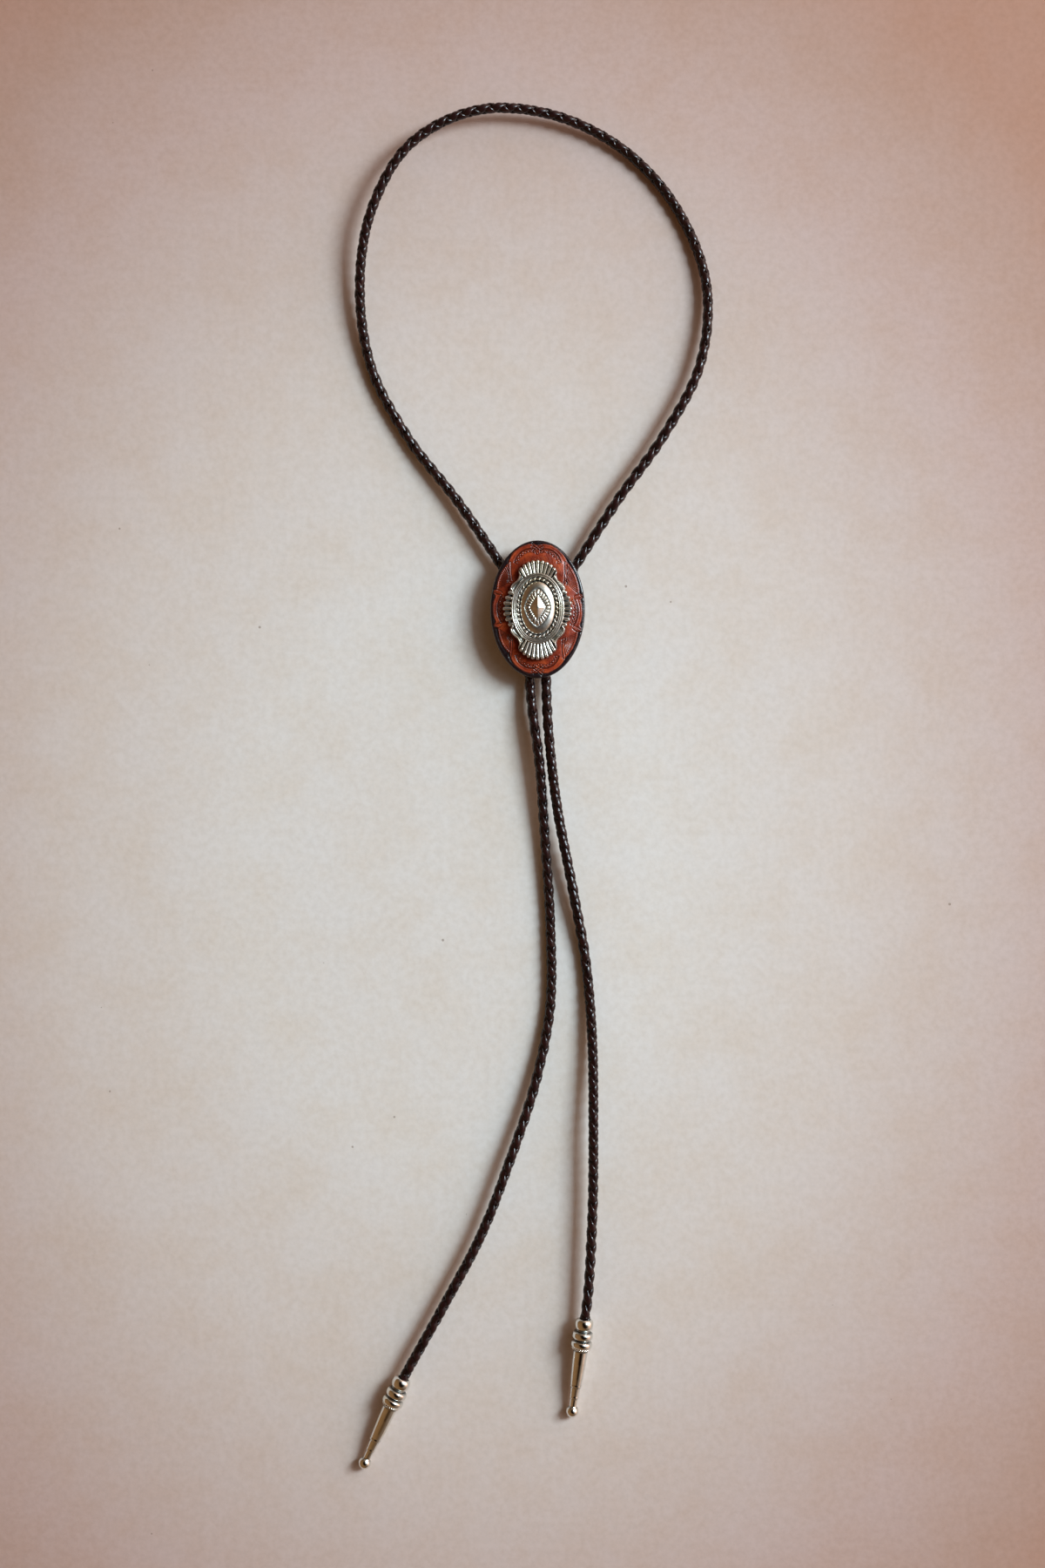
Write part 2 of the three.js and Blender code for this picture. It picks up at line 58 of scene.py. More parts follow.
def smoothstep(a, b, x):
    t = np.clip((np.asarray(x, float) - a) / (b - a), 0.0, 1.0)
    return t * t * (3 - 2 * t)


def mesh_object(name, verts, quads=None, tris=None, smooth=True, colors=None):
    """A mesh object from arrays: verts in metres, quads and tris as index arrays."""
    loops, starts, totals = [], [], []
    at = 0
    for faces, n in ((quads, 4), (tris, 3)):
        if faces is None or not len(faces):
            continue
        faces = np.asarray(faces, np.int32)
        loops.append(faces.ravel())
        starts.append(at + n * np.arange(len(faces), dtype=np.int32))
        totals.append(np.full(len(faces), n, np.int32))
        at += faces.size
    me = bpy.data.meshes.new(name)
    me.vertices.add(len(verts))
    me.vertices.foreach_set("co", np.asarray(verts, np.float32).ravel())
    loops, starts, totals = map(np.concatenate, (loops, starts, totals))
    me.loops.add(len(loops))
    me.loops.foreach_set("vertex_index", loops)
    me.polygons.add(len(starts))
    me.polygons.foreach_set("loop_start", starts)
    me.polygons.foreach_set("loop_total", totals)
    me.polygons.foreach_set("use_smooth", np.full(len(starts), smooth, bool))
    me.update(calc_edges=True)
    for key, values in (colors or {}).items():
        layer = me.attributes.new(key, "FLOAT", "POINT")
        layer.data.foreach_set("value", np.asarray(values, np.float32))
    me.validate()
    ob = bpy.data.objects.new(name, me)
    bpy.context.scene.collection.objects.link(ob)
    return ob


def grid_quads(rows, cols, wrap=True, offset=0):
    """Quads of a rows by cols grid of points; wrap joins the last column to the first."""
    i = np.arange(rows - 1)[:, None]
    j = np.arange(cols if wrap else cols - 1)[None, :]
    k = (j + 1) % cols
    a, b, c, d = np.broadcast_arrays(i * cols + j, i * cols + k, (i + 1) * cols + k, (i + 1) * cols + j)
    return offset + np.stack([a, b, c, d], -1).reshape(-1, 4)


def noise_field(shape, cell, rng):
    """Smooth value noise on a grid, cell samples a lump, about -1 to 1."""
    h, w = shape
    gh, gw = int(h / cell) + 4, int(w / cell) + 4
    g = rng.uniform(-1, 1, (gh, gw))
    y = np.arange(h) / cell
    x = np.arange(w) / cell
    yi, xi = y.astype(int), x.astype(int)
    fy = (y - yi)[:, None]
    fx = (x - xi)[None, :]
    fy, fx = fy * fy * (3 - 2 * fy), fx * fx * (3 - 2 * fx)
    a = g[np.ix_(yi, xi)]
    b = g[np.ix_(yi, xi + 1)]
    c = g[np.ix_(yi + 1, xi)]
    d = g[np.ix_(yi + 1, xi + 1)]
    return (a * (1 - fx) + b * fx) * (1 - fy) + (c * (1 - fx) + d * fx) * fy


def blur(a, sigma):
    """Gaussian blur of a 2D array, sigma in samples."""
    r = int(3 * sigma) + 1
    k = np.exp(-0.5 * (np.arange(-r, r + 1) / sigma) ** 2)
    k /= k.sum()
    p = np.pad(a, ((r, r), (0, 0)), mode="edge")
    a = sum(k[i] * p[i : i + a.shape[0]] for i in range(2 * r + 1))
    p = np.pad(a, ((0, 0), (r, r)), mode="edge")
    return sum(k[i] * p[:, i : i + a.shape[1]] for i in range(2 * r + 1))


class Raster:
    """A height map over a rectangle, in millimetres, read back at any point."""

    def __init__(self, x0, x1, y0, y1, step):
        self.x0, self.y0, self.step = x0, y0, step
        self.xs = np.arange(x0, x1 + step, step)
        self.ys = np.arange(y0, y1 + step, step)
        self.X, self.Y = np.meshgrid(self.xs, self.ys)

    def read(self, field, x, y):
        u = np.clip((x - self.x0) / self.step, 0, len(self.xs) - 1.001)
        v = np.clip((y - self.y0) / self.step, 0, len(self.ys) - 1.001)
        i, j = v.astype(int), u.astype(int)
        fv, fu = v - i, u - j
        return (
            field[i, j] * (1 - fu) * (1 - fv)
            + field[i, j + 1] * fu * (1 - fv)
            + field[i + 1, j] * (1 - fu) * fv
            + field[i + 1, j + 1] * fu * fv
        )


# ------------------------------------------------------------------ camera
# Straight above the tie: 1800 pixels of 0.305 mm along the long side.
PX = 0.305
FRAME_MM = 1800 * PX
CENTRE = ((600 - 617.2) * PX, (701.6 - 900) * PX + 9.5)
cam_data = bpy.data.cameras.new("camera")
cam_data.lens = 50
cam_data.sensor_width = 36
cam_data.sensor_fit = "AUTO"
cam_data.clip_start = 0.01
cam_data.dof.use_dof = False
cam = bpy.data.objects.new("camera", cam_data)
cam.location = (CENTRE[0] * MM, CENTRE[1] * MM, FRAME_MM / 36 * 50 * MM)
bpy.context.scene.collection.objects.link(cam)
bpy.context.scene.camera = cam

# ------------------------------------------------------------------ the cord's route (mm)
CORD_D = 3.6
CORD_R = CORD_D / 2
CLIP_LENGTH = 15.0
CHANNEL_Z = 0.8 + 2.35
CORD_IN_TIP = 6.5
TIP_RISE, CLIP_RISE = 24.0, 18.0
# s runs along a tip from the cord's side, r is its outer radius there
TIP_PROFILE = [
    (0.00, 2.70), (0.55, 2.95), (1.30, 3.18), (2.10, 3.22), (2.90, 3.12), (3.60, 2.80),
    (4.05, 2.55), (4.45, 2.62), (4.75, 3.30), (5.40, 3.62), (6.40, 3.68), (7.10, 3.35),
    (7.45, 2.75), (7.75, 2.75), (8.10, 3.45), (8.80, 3.78), (9.90, 3.80), (10.70, 3.40),
    (11.10, 2.75), (11.40, 2.58), (16.00, 2.45), (21.20, 2.18), (23.60, 2.00), (24.00, 2.10),
    (24.50, 1.78), (27.80, 1.52), (28.10, 1.64), (28.60, 1.38), (31.30, 1.28), (31.75, 1.70),
    (32.50, 2.10), (33.20, 2.20), (34.00, 2.07), (34.75, 1.60), (35.25, 0.85), (35.40, 0.0),
]
TIP_SLOPE = math.asin((3.80 - 2.20) / (33.20 - 9.90))
TIP_MOUTH_Z = max(r * math.cos(TIP_SLOPE) + s * math.sin(TIP_SLOPE) for s, r in TIP_PROFILE)
TIPS = {"tip_left": (-46.7, -257.8, 245.6), "tip_right": (16.5, -237.1, 262.4)}
# x, y and the height of the cord's middle: it touches down in four places and arches between
ROUTE = [
    (-32.9, -233.0, 4.9), (-19.8, -208.3, 4.9), (-9.68, -182.2, 4.6), (-0.91, -155.8, 3.3),
    (4.4, -128.8, 1.9), (4.5, -100.9, 1.8), (2.79, -72.9, 2.4), (0.78, -45.0, 4.4),
    (-1.9, -24.5, 4.6), (-2.95, -10.0, 3.6), (-2.95, -1.0, 3.15), (-2.95, 7.0, 3.15),
    (-4.6, 13.0, 3.3), (-8.2, 18.8, 3.5), (-12.53, 25.2, 3.6), (-28.1, 47.9, 3.0),
    (-45.2, 69.9, 1.9), (-58.0, 94.3, 1.9), (-61.9, 120.9, 4.4), (-57.9, 147.4, 7.0),
    (-44.2, 170.8, 7.8), (-20.0, 182.8, 7.4), (7.26, 181.3, 4.4), (31.7, 169.1, 2.1),
    (49.5, 148.5, 1.8), (59.0, 122.5, 2.8), (56.5, 94.8, 4.9), (43.9, 70.2, 5.6),
    (27.9, 47.7, 5.5), (13.2, 25.0, 4.1), (8.6, 18.6, 3.7), (4.7, 13.0, 3.35),
    (2.95, 7.0, 3.15), (2.95, -1.0, 3.15), (2.95, -10.0, 3.5), (3.67, -31.1, 4.6),
    (6.75, -58.8, 5.2), (11.96, -86.0, 3.6), (16.9, -113.6, 1.8), (19.1, -141.1, 3.4),
    (19.4, -168.6, 5.4), (19.2, -196.4, 5.5), (17.9, -224.2, 5.3),
]


def in_tip(tip, s):
    x, y, angle = TIPS[tip]
    a = math.radians(angle)
    f = s * math.cos(TIP_SLOPE)
    return (x + f * math.cos(a), y + f * math.sin(a))


def cord_line(step):
    """The middle of the cord, a point about every step mm, and the distance along it."""
    P = np.array(
        [(*in_tip("tip_left", CORD_IN_TIP), ROUTE[0][2]), (*in_tip("tip_left", 0), ROUTE[0][2])]
        + ROUTE
        + [(*in_tip("tip_right", 0), ROUTE[-1][2]), (*in_tip("tip_right", CORD_IN_TIP), ROUTE[-1][2])]
    )
    A = np.vstack([2 * P[0] - P[1], P, 2 * P[-1] - P[-2]])
    m = len(P) - 1
    t = np.linspace(0, m, 8001)
    i = np.minimum(t.astype(int), m - 1)
    u = (t - i)[:, None]
    p0, p1, p2, p3 = A[i], A[i + 1], A[i + 2], A[i + 3]
    v0, v1 = (p2 - p0) / 2, (p3 - p1) / 2
    c = p1 + v0 * u + (3 * (p2 - p1) - 2 * v0 - v1) * u**2 + (2 * (p1 - p2) + v0 + v1) * u**3
    d = np.r_[0, np.cumsum(np.linalg.norm(np.diff(c[:, :2], axis=0), axis=1))]
    total = d[-1]
    n = int(round(total / step)) + 1
    s = np.linspace(0, total, n)
    x, y, level = (np.interp(s, d, c[:, k]) for k in range(3))
    level = np.maximum(CORD_R, level)

    def near_tip(dist, level):
        inside = CORD_IN_TIP - dist
        slope = math.sin(TIP_SLOPE)
        q = np.clip(-inside / TIP_RISE, 0, 1)
        out = level + (TIP_MOUTH_Z - level) * (2 * q**3 - 3 * q**2 + 1) + slope * TIP_RISE * (q**3 - 2 * q**2 + q)
        return np.where(inside >= 0, TIP_MOUTH_Z - inside * slope, out)

    outside = np.maximum(0, abs(y) - CLIP_LENGTH / 2 - 1)
    clip = np.where(abs(x) < 40, 1 - smoothstep(0, CLIP_RISE, outside), 0)
    z = near_tip(total - s, near_tip(s, level + clip * (CHANNEL_Z - level)))
    return np.c_[x, y, z], s


def frames_along(line):
    """Unit tangent, side and up vectors at each point of a line that lies nearly flat."""
    T = np.gradient(line, axis=0)
    T /= np.linalg.norm(T, axis=1)[:, None]
    S = np.cross(T, [0, 0, 1.0])
    S /= np.linalg.norm(S, axis=1)[:, None]
    U = np.cross(S, T)
    return T, S, U


# ------------------------------------------------------------------ braided cord
BRAID_PITCH = 10.2      # one strand's full turn round the cord, mm
BRAID_STEP = 0.56
STRAND_W, STRAND_T = 2.55, 1.05
STRAND_SIDES = 10


def braid():
    line, s = cord_line(BRAID_STEP)
    rng = np.random.default_rng(SEED)
    T, S, U = frames_along(line)
    n = len(line)
    # the whole braid turns slowly as it lies, and its pitch wanders a little
    wander = np.interp(s, np.linspace(0, s[-1], 40), np.cumsum(rng.normal(0, 0.32, 40)))
    stretch = np.interp(s, np.linspace(0, s[-1], 60), rng.normal(0, 0.35, 60))
    verts, quads, tris, tone, along = [], [], [], [], []
    base = 0
    mean_r, weave = 1.02, 0.27
    for k in range(4):
        hand = 1 if k < 2 else -1
        phase = (k % 2) * math.pi + (0 if k < 2 else math.pi / 2)
        a = hand * (2 * math.pi * s / BRAID_PITCH + stretch) + phase
        over = np.cos(4 * math.pi * (s / BRAID_PITCH) + 2 * stretch - math.pi / 2)
        over = np.sign(over) * abs(over) ** 0.7
        ripple = np.interp(s, np.linspace(0, s[-1], 500), rng.normal(0, 0.035, 500))
        r = mean_r + hand * weave * over + ripple
        a = a + wander
        c = line + (S * np.cos(a)[:, None] + U * np.sin(a)[:, None]) * r[:, None]
        t = np.gradient(c, axis=0)
        t /= np.linalg.norm(t, axis=1)[:, None]
        out = S * np.cos(a)[:, None] + U * np.sin(a)[:, None]
        wide = np.cross(t, out)
        wide /= np.linalg.norm(wide, axis=1)[:, None]
        out = np.cross(wide, t)
        w = STRAND_W / 2 * (1 + np.interp(s, np.linspace(0, s[-1], 260), rng.normal(0, 0.05, 260)))
        q = (np.arange(STRAND_SIDES) + 0.5) / STRAND_SIDES * 2 * math.pi
        cx = np.sign(np.cos(q)) * abs(np.cos(q)) ** 0.75
        cy = np.sign(np.sin(q)) * abs(np.sin(q)) ** 0.85
        # the lace is flat, and curls a little round the cord
        curl = -0.20 * cx**2
        ring = (
            c[:, None, :]
            + wide[:, None, :] * (w[:, None] * cx[None, :])[..., None]
            + out[:, None, :] * ((STRAND_T / 2 * cy + curl + 0.08)[None, :, None])
        )
        verts.append(ring.reshape(-1, 3))
        quads.append(grid_quads(n, STRAND_SIDES, True, base)[:, ::-1])
        for row, flip in ((0, False), (n - 1, True)):
            centre_index = base + n * STRAND_SIDES + (0 if row == 0 else 1)
            e = base + row * STRAND_SIDES + np.arange(STRAND_SIDES)
            f = np.roll(e, -1)
            tri = np.c_[np.full(STRAND_SIDES, centre_index), e, f]
            tris.append(tri[:, ::-1] if flip else tri)
        verts.append(np.array([c[0], c[-1]]))
        tone.append(np.repeat(rng.uniform(0, 1) + 0 * s, STRAND_SIDES))
        tone.append([0.5, 0.5])
        edge = np.tile(abs(cx), n)
        # painted shade: each lace is darkened along its edges, where it meets its neighbours, and where it dips under
        # a crossing lace
        along.append(edge * 0.6 + 0.4 * np.repeat(np.clip(0.5 - 0.5 * hand * over, 0, 1), STRAND_SIDES))
        along.append([0.5, 0.5])
        base += n * STRAND_SIDES + 2
    # a thin core under the strands
    step = 4
    cl = line[::step]
    if not np.allclose(cl[-1], line[-1]):
        cl = np.vstack([cl, line[-1]])
    cs, cu = frames_along(cl)[1:]
    q = np.arange(6) / 6 * 2 * math.pi
    ring = cl[:, None, :] + 0.72 * (cs[:, None, :] * np.cos(q)[None, :, None] + cu[:, None, :] * np.sin(q)[None, :, None])
    verts.append(ring.reshape(-1, 3))
    quads.append(grid_quads(len(cl), 6, True, base))
    verts.append(np.array([cl[0], cl[-1]]))
    for row, flip in ((0, True), (len(cl) - 1, False)):
        e = base + row * 6 + np.arange(6)
        f = np.roll(e, -1)
        tri = np.c_[np.full(6, base + len(cl) * 6 + (0 if row == 0 else 1)), e, f]
        tris.append(tri[:, ::-1] if flip else tri)
    count = len(cl) * 6 + 2
    tone.append(np.full(count, 0.2))
    # the core takes the full painted crease shade, as the dark gap under the laces
    along.append(np.full(count, 1.0))
    V = np.concatenate(verts)
    V[:, 2] = np.maximum(V[:, 2], 0.02)
    ob = mesh_object(
        "cord_braid", V * MM, np.concatenate(quads), np.concatenate(tris), True,
        {"tone": np.concatenate(tone), "painted_crease_shade": np.concatenate(along)},
    )
    return ob, line


cord, cord_path = braid()

# ------------------------------------------------------------------ materials


def new_material(name):
    m = bpy.data.materials.new(name)
    m.use_nodes = True
    nt = m.node_tree
    return m, nt, nt.nodes["Principled BSDF"]


def node(nt, kind, **inputs):
    n = nt.nodes.new(kind)
    for key, value in inputs.items():
        target = n.inputs.get(key.replace("_", " ")) if not key.startswith("p_") else None
        if key.startswith("p_"):
            setattr(n, key[2:], value)
        else:
            target.default_value = value
    return n


def attribute(nt, name):
    n = nt.nodes.new("ShaderNodeAttribute")
    n.attribute_name = name
    return n


def mix_color(nt, factor, a, b, blend="MIX"):
    n = nt.nodes.new("ShaderNodeMix")
    n.data_type = "RGBA"
    n.blend_type = blend
    n.clamp_factor = True
    for socket, value in ((n.inputs[0], factor), (n.inputs[6], a), (n.inputs[7], b)):
        if hasattr(value, "links") or isinstance(value, bpy.types.NodeSocket):
            nt.links.new(value, socket)
        elif isinstance(value, (int, float)):
            socket.default_value = value
        else:
            socket.default_value = (*value, 1.0)
    return n.outputs[2]


def math_node(nt, op, a, b=0.0, c=None, clamp=False):
    n = nt.nodes.new("ShaderNodeMath")
    n.operation = op
    n.use_clamp = clamp
    for i, value in enumerate((a, b) if c is None else (a, b, c)):
        if isinstance(value, bpy.types.NodeSocket):
            nt.links.new(value, n.inputs[i])
        else:
            n.inputs[i].default_value = value
    return n.outputs[0]


def ramp(nt, source, stops):
    n = nt.nodes.new("ShaderNodeValToRGB")
    n.color_ramp.elements.remove(n.color_ramp.elements[1])
    for i, (pos, rgb) in enumerate(stops):
        e = n.color_ramp.elements[0] if i == 0 else n.color_ramp.elements.new(pos)
        e.position = pos
        e.color = (*rgb, 1.0)
    nt.links.new(source, n.inputs[0])
    return n.outputs[0]


def noise(nt, scale, detail=4.0, rough=0.55, distortion=0.0):
    co = nt.nodes.new("ShaderNodeTexCoord")
    n = nt.nodes.new("ShaderNodeTexNoise")
    n.inputs["Scale"].default_value = scale
    n.inputs["Detail"].default_value = detail
    n.inputs["Roughness"].default_value = rough
    n.inputs["Distortion"].default_value = distortion
    nt.links.new(co.outputs["Object"], n.inputs["Vector"])
    return n.outputs[0]


def bump(nt, bsdf, height, strength, distance):
    n = nt.nodes.new("ShaderNodeBump")
    n.inputs["Strength"].default_value = strength
    n.inputs["Distance"].default_value = distance
    nt.links.new(height, n.inputs["Height"])
    nt.links.new(n.outputs[0], bsdf.inputs["Normal"])
    return n


def braid_material():
    m, nt, b = new_material("braid_leather")
    tone = attribute(nt, "tone").outputs["Fac"]
    painted_crease_shade = attribute(nt, "painted_crease_shade").outputs["Fac"]
    lumps = noise(nt, 260.0, 3.0)
    base = ramp(nt, lumps, [(0.30, (0.0055, 0.0018, 0.0020)), (0.55, (0.015, 0.0040, 0.0036)), (0.8, (0.044, 0.0105, 0.0075))])
    warm = mix_color(nt, math_node(nt, "MULTIPLY", tone, 0.5), base, (0.034, 0.011, 0.010))
    # painted shade: the laces' edges, their dips under each other and the core are mixed toward near black
    dark = mix_color(nt, math_node(nt, "MULTIPLY", painted_crease_shade, 0.75), warm, (0.004, 0.002, 0.002))
    nt.links.new(dark, b.inputs["Base Color"])
    grain = noise(nt, 1900.0, 5.0, 0.6)
    rough = math_node(nt, "MULTIPLY_ADD", grain, 0.26, 0.09)
    nt.links.new(rough, b.inputs["Roughness"])
    b.inputs["Specular IOR Level"].default_value = 0.15
    b.inputs["Coat Weight"].default_value = 0.38
    b.inputs["Coat Roughness"].default_value = 0.10
    fine = noise(nt, 3200.0, 4.0, 0.6)
    both = math_node(nt, "MULTIPLY_ADD", fine, 0.5, grain)
    bump(nt, b, both, 0.35, 0.00012)
    return m


def metal_material(name, bright, shade, dark, rough, rough_more, mottling, tint=None, tint_at=400.0):
    """Cast or turned metal: 'patina' is 0 on high points and 1 in recesses."""
    m, nt, b = new_material(name)
    patina = attribute(nt, "patina").outputs["Fac"]
    cloud = noise(nt, tint_at, 4.0, 0.6)
    clean = ramp(nt, cloud, [(0.30, shade), (0.62, bright)])
    if tint is not None:
        slow = noise(nt, 120.0, 2.0, 0.5)
        clean = mix_color(nt, ramp(nt, slow, [(0.42, (0, 0, 0)), (0.66, (mottling,) * 3)]), clean, tint)
    full = mix_color(nt, patina, clean, dark)
    nt.links.new(full, b.inputs["Base Color"])
    b.inputs["Metallic"].default_value = 1.0
    scuff = noise(nt, 1500.0, 5.0, 0.65)
    r = math_node(nt, "MULTIPLY_ADD", scuff, rough_more, rough)
    r = math_node(nt, "MULTIPLY_ADD", patina, 0.42, r)
    nt.links.new(r, b.inputs["Roughness"])
    fine = noise(nt, 2600.0, 3.0, 0.6)
    bump(nt, b, fine, 0.10, 0.00005)
    return m


def leather_material():
    m, nt, b = new_material("tooled_leather")
    depth = attribute(nt, "tool").outputs["Fac"]
    edge = attribute(nt, "edge").outputs["Fac"]
    cloud = noise(nt, 190.0, 4.0, 0.6, 0.3)
    base = ramp(nt, cloud, [(0.28, (0.120, 0.0115, 0.0048)), (0.50, (0.29, 0.037, 0.0115)), (0.74, (0.56, 0.102, 0.026))])
    dyed = mix_color(nt, depth, base, (0.030, 0.0030, 0.0020))
    rim = mix_color(nt, edge, dyed, (0.012, 0.0052, 0.0065))
    nt.links.new(rim, b.inputs["Base Color"])
    grain = noise(nt, 1500.0, 6.0, 0.62)
    nt.links.new(math_node(nt, "MULTIPLY_ADD", grain, 0.34, 0.14), b.inputs["Roughness"])
    b.inputs["Specular IOR Level"].default_value = 0.35
    b.inputs["Coat Weight"].default_value = 0.45
    b.inputs["Coat Roughness"].default_value = 0.15
    pores = nt.nodes.new("ShaderNodeTexVoronoi")
    pores.inputs["Scale"].default_value = 2100.0
    co = nt.nodes.new("ShaderNodeTexCoord")
    nt.links.new(co.outputs["Object"], pores.inputs["Vector"])
    both = math_node(nt, "MULTIPLY_ADD", pores.outputs["Distance"], 0.8, grain)
    bump(nt, b, both, 0.30, 0.00010)
    return m


MAT_BRAID = braid_material()
MAT_SILVER = metal_material(
    "antique_silver", (0.74, 0.715, 0.67), (0.56, 0.53, 0.465), (0.022, 0.016, 0.015),
    0.24, 0.12, 0.45, (0.56, 0.49, 0.31), 700.0,
)
MAT_NICKEL = metal_material(
    "polished_nickel", (0.86, 0.87, 0.84), (0.76, 0.76, 0.71), (0.006, 0.004, 0.003),
    0.06, 0.08, 0.3, (0.74, 0.66, 0.44), 500.0,
)
MAT_CLIP = metal_material(
    "clip_steel", (0.58, 0.57, 0.55), (0.44, 0.43, 0.41), (0.05, 0.045, 0.04),
    0.32, 0.18, 0.2, (0.45, 0.42, 0.38), 900.0,
)
MAT_LEATHER = leather_material()

cord.data.materials.append(MAT_BRAID)
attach(cord, "root")
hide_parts("braided_cord")

# ------------------------------------------------------------------ tips


def tip(name, cad):
    x, y, angle = TIPS[cad]
    s = np.array([p[0] for p in TIP_PROFILE])
    r = np.array([p[1] for p in TIP_PROFILE])
    # the turned outline, finely sampled, with crisp grooves and soft bellies
    rows = []
    sections = [
        (0.0, 4.25, 30, "bead"), (4.25, 4.55, 4, "groove"), (4.55, 7.35, 26, "ring"),
        (7.35, 7.8, 5, "groove"), (7.8, 10.35, 26, "ring"), (10.35, 11.15, 12, "foot"), (11.15, 35.4, 90, "rest"),
    ]
    out = []
    for a, b, n, kind in sections:
        t = np.linspace(0, 1, n, endpoint=False)
        q = a + (b - a) * t
        if kind == "bead":
            c, half = 2.05, 2.12
            rr = 1.86 + (3.22 - 1.86) * np.sqrt(np.clip(1 - (abs(q - c) / half) ** 2.3, 0, 1))
        elif kind == "ring":
            c, half = (a + b) / 2, (b - a) / 2
            top = 3.68 if a < 7 else 3.80
            rr = 2.62 + (top - 2.62) * np.clip(1 - (abs(q - c) / half) ** 2.8, 0, 1) ** 0.5
        elif kind == "groove":
            rr = np.full(n, 2.55)
        elif kind == "foot":
            rr = np.full(n, 3.02) - 0.35 * t**2
        else:
            rr = np.interp(q, s, r)
        out += list(zip(q, rr))
    out.append((35.4, 0.0))
    out = np.array(out)
    # round the end ball properly
    ball = out[:, 0] > 31.2
    cs, cr = 33.2, 2.2
    inside = np.sqrt(np.clip(cr**2 - (out[:, 0] - cs) ** 2, 0, None))
    out[ball, 1] = np.where(out[ball, 0] < 31.9, np.maximum(1.26, inside[ball]), inside[ball])
    out[-1, 1] = 0.0
    # the socket's wall, from the floor of the socket out to the mouth
    inner = np.array([(7.9, 0.0), (7.9, 1.72), (4.0, 1.74), (0.5, 1.76), (0.08, 1.82)])
    P = np.vstack([inner, out])
    m = 182
    th = np.arange(m) / m * 2 * math.pi
    body = P[1:-1]
    R = np.repeat(body[:, 1][:, None], m, 1)
    # a row of small beads along the lower edge of the widest ring
    bead = np.exp(-(((body[:, 0] - 10.62) / 0.30) ** 2))[:, None] * abs(np.cos(13 * th))[None, :] ** 0.8
    R = R + 0.30 * bead * (body[:, 0] > 9.8)[:, None] * (body[:, 0] < 11.1)[:, None]
    local = np.stack([R * np.cos(th), np.repeat(body[:, 0][:, None], m, 1), R * np.sin(th)], -1).reshape(-1, 3)
    first, last = np.array([[0, P[0, 0], 0]]), np.array([[0, P[-1, 0], 0]])
    V = np.vstack([local, first, last])
    rows_n = len(body)
    quads = grid_quads(rows_n, m)
    e = np.arange(m)
    f = np.roll(e, -1)
    tri0 = np.c_[np.full(m, rows_n * m), f, e]
    tri1 = np.c_[np.full(m, rows_n * m + 1), (rows_n - 1) * m + e, (rows_n - 1) * m + f]
    # patina: in the grooves, the collars' corners and inside the socket
    g = np.zeros(rows_n)
    for at, wide, deep in ((4.4, 0.34, 1.0), (7.58, 0.36, 1.0), (11.3, 0.26, 0.85), (24.45, 0.18, 0.55),
                           (28.55, 0.16, 0.5), (31.6, 0.22, 0.55), (23.6, 0.12, 0.35)):
        g = np.maximum(g, deep * np.exp(-(((body[:, 0] - at) / wide) ** 2)))
    g[:4] = 1.0
    patina = np.r_[np.repeat(g, m), 1.0, 0.0]
    # place it: along +Y, tipped down by the slope, turned to its angle, moved to its mouth
    cy, sy = math.cos(-TIP_SLOPE), math.sin(-TIP_SLOPE)
    V = np.c_[V[:, 0], V[:, 1] * cy - V[:, 2] * sy, V[:, 1] * sy + V[:, 2] * cy]
    a = math.radians(angle - 90)
    V = np.c_[V[:, 0] * math.cos(a) - V[:, 1] * math.sin(a), V[:, 0] * math.sin(a) + V[:, 1] * math.cos(a), V[:, 2]]
    V += [x, y, TIP_MOUTH_Z]
    ob = mesh_object(name, V * MM, quads[:, ::-1], np.vstack([tri0, tri1])[:, ::-1], True, {"patina": patina})
    ob.data.materials.append(MAT_NICKEL)
    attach(ob, "root")
    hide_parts(cad)
    return ob


tips = [tip("metal_tip_left", "tip_left"), tip("metal_tip_right", "tip_right")]

# ------------------------------------------------------------------ levels from the CAD boxes (mm)


def cad_box(name):
    low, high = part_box(name)
    return np.array(low) / MM, np.array(high) / MM


(lx0, ly0, lz0), (lx1, ly1, lz1) = cad_box("leather_backing")
(cx0, cy0, cz0), (cx1, cy1, cz1) = cad_box("concho")
SLIDE = ((lx0 + lx1) / 2, (ly0 + ly1) / 2)
LEATHER_RX, LEATHER_RY = (lx1 - lx0) / 2, (ly1 - ly0) / 2

# ------------------------------------------------------------------ concho
RING_RX, RING_RY = 9.2, 12.25
ROPE_RX, ROPE_RY = 6.8, 10.0
ROPE_COUNT = 33
DOME_RX, DOME_RY = 6.08, 9.15
RIDGE_COUNT = 24
RIDGE_OVAL = (4.38, 6.4, 1.5)      # half width, half height, power of the pointed oval
DIAMOND = (2.68, 4.35, 1.14)
CENTRE_DY = 0.25                   # the struck centre sits a little high in its ring
FAN_RIBS, SIDE_RIBS = 9, 7
FAN_CENTRE_Y, FAN_LONG, FAN_SHORT, FAN_SPREAD = 3.5, 13.3, 12.1, 29.5
LOWER_STRETCH = 1.05
FIELD_Z, SHOULDER_Z = 0.85, 1.15   # floor between the ribs, and the shoulders' hollow
SHOULDER = [
    (6.35, 13.7), (6.75, 12.6), (6.55, 11.3), (7.1, 10.0),
    (8.3, 9.0), (9.3, 7.8), (9.55, 6.6), (9.1, 5.7),
]
RING_BEADS = [
    # inset from the ring's edge, half width, height
    {"inset": 0.34, "half": 0.32, "top": 2.00},
    {"inset": 1.00, "half": 0.27, "top": 2.18},
    {"inset": 1.58, "half": 0.24, "top": 2.24},
]


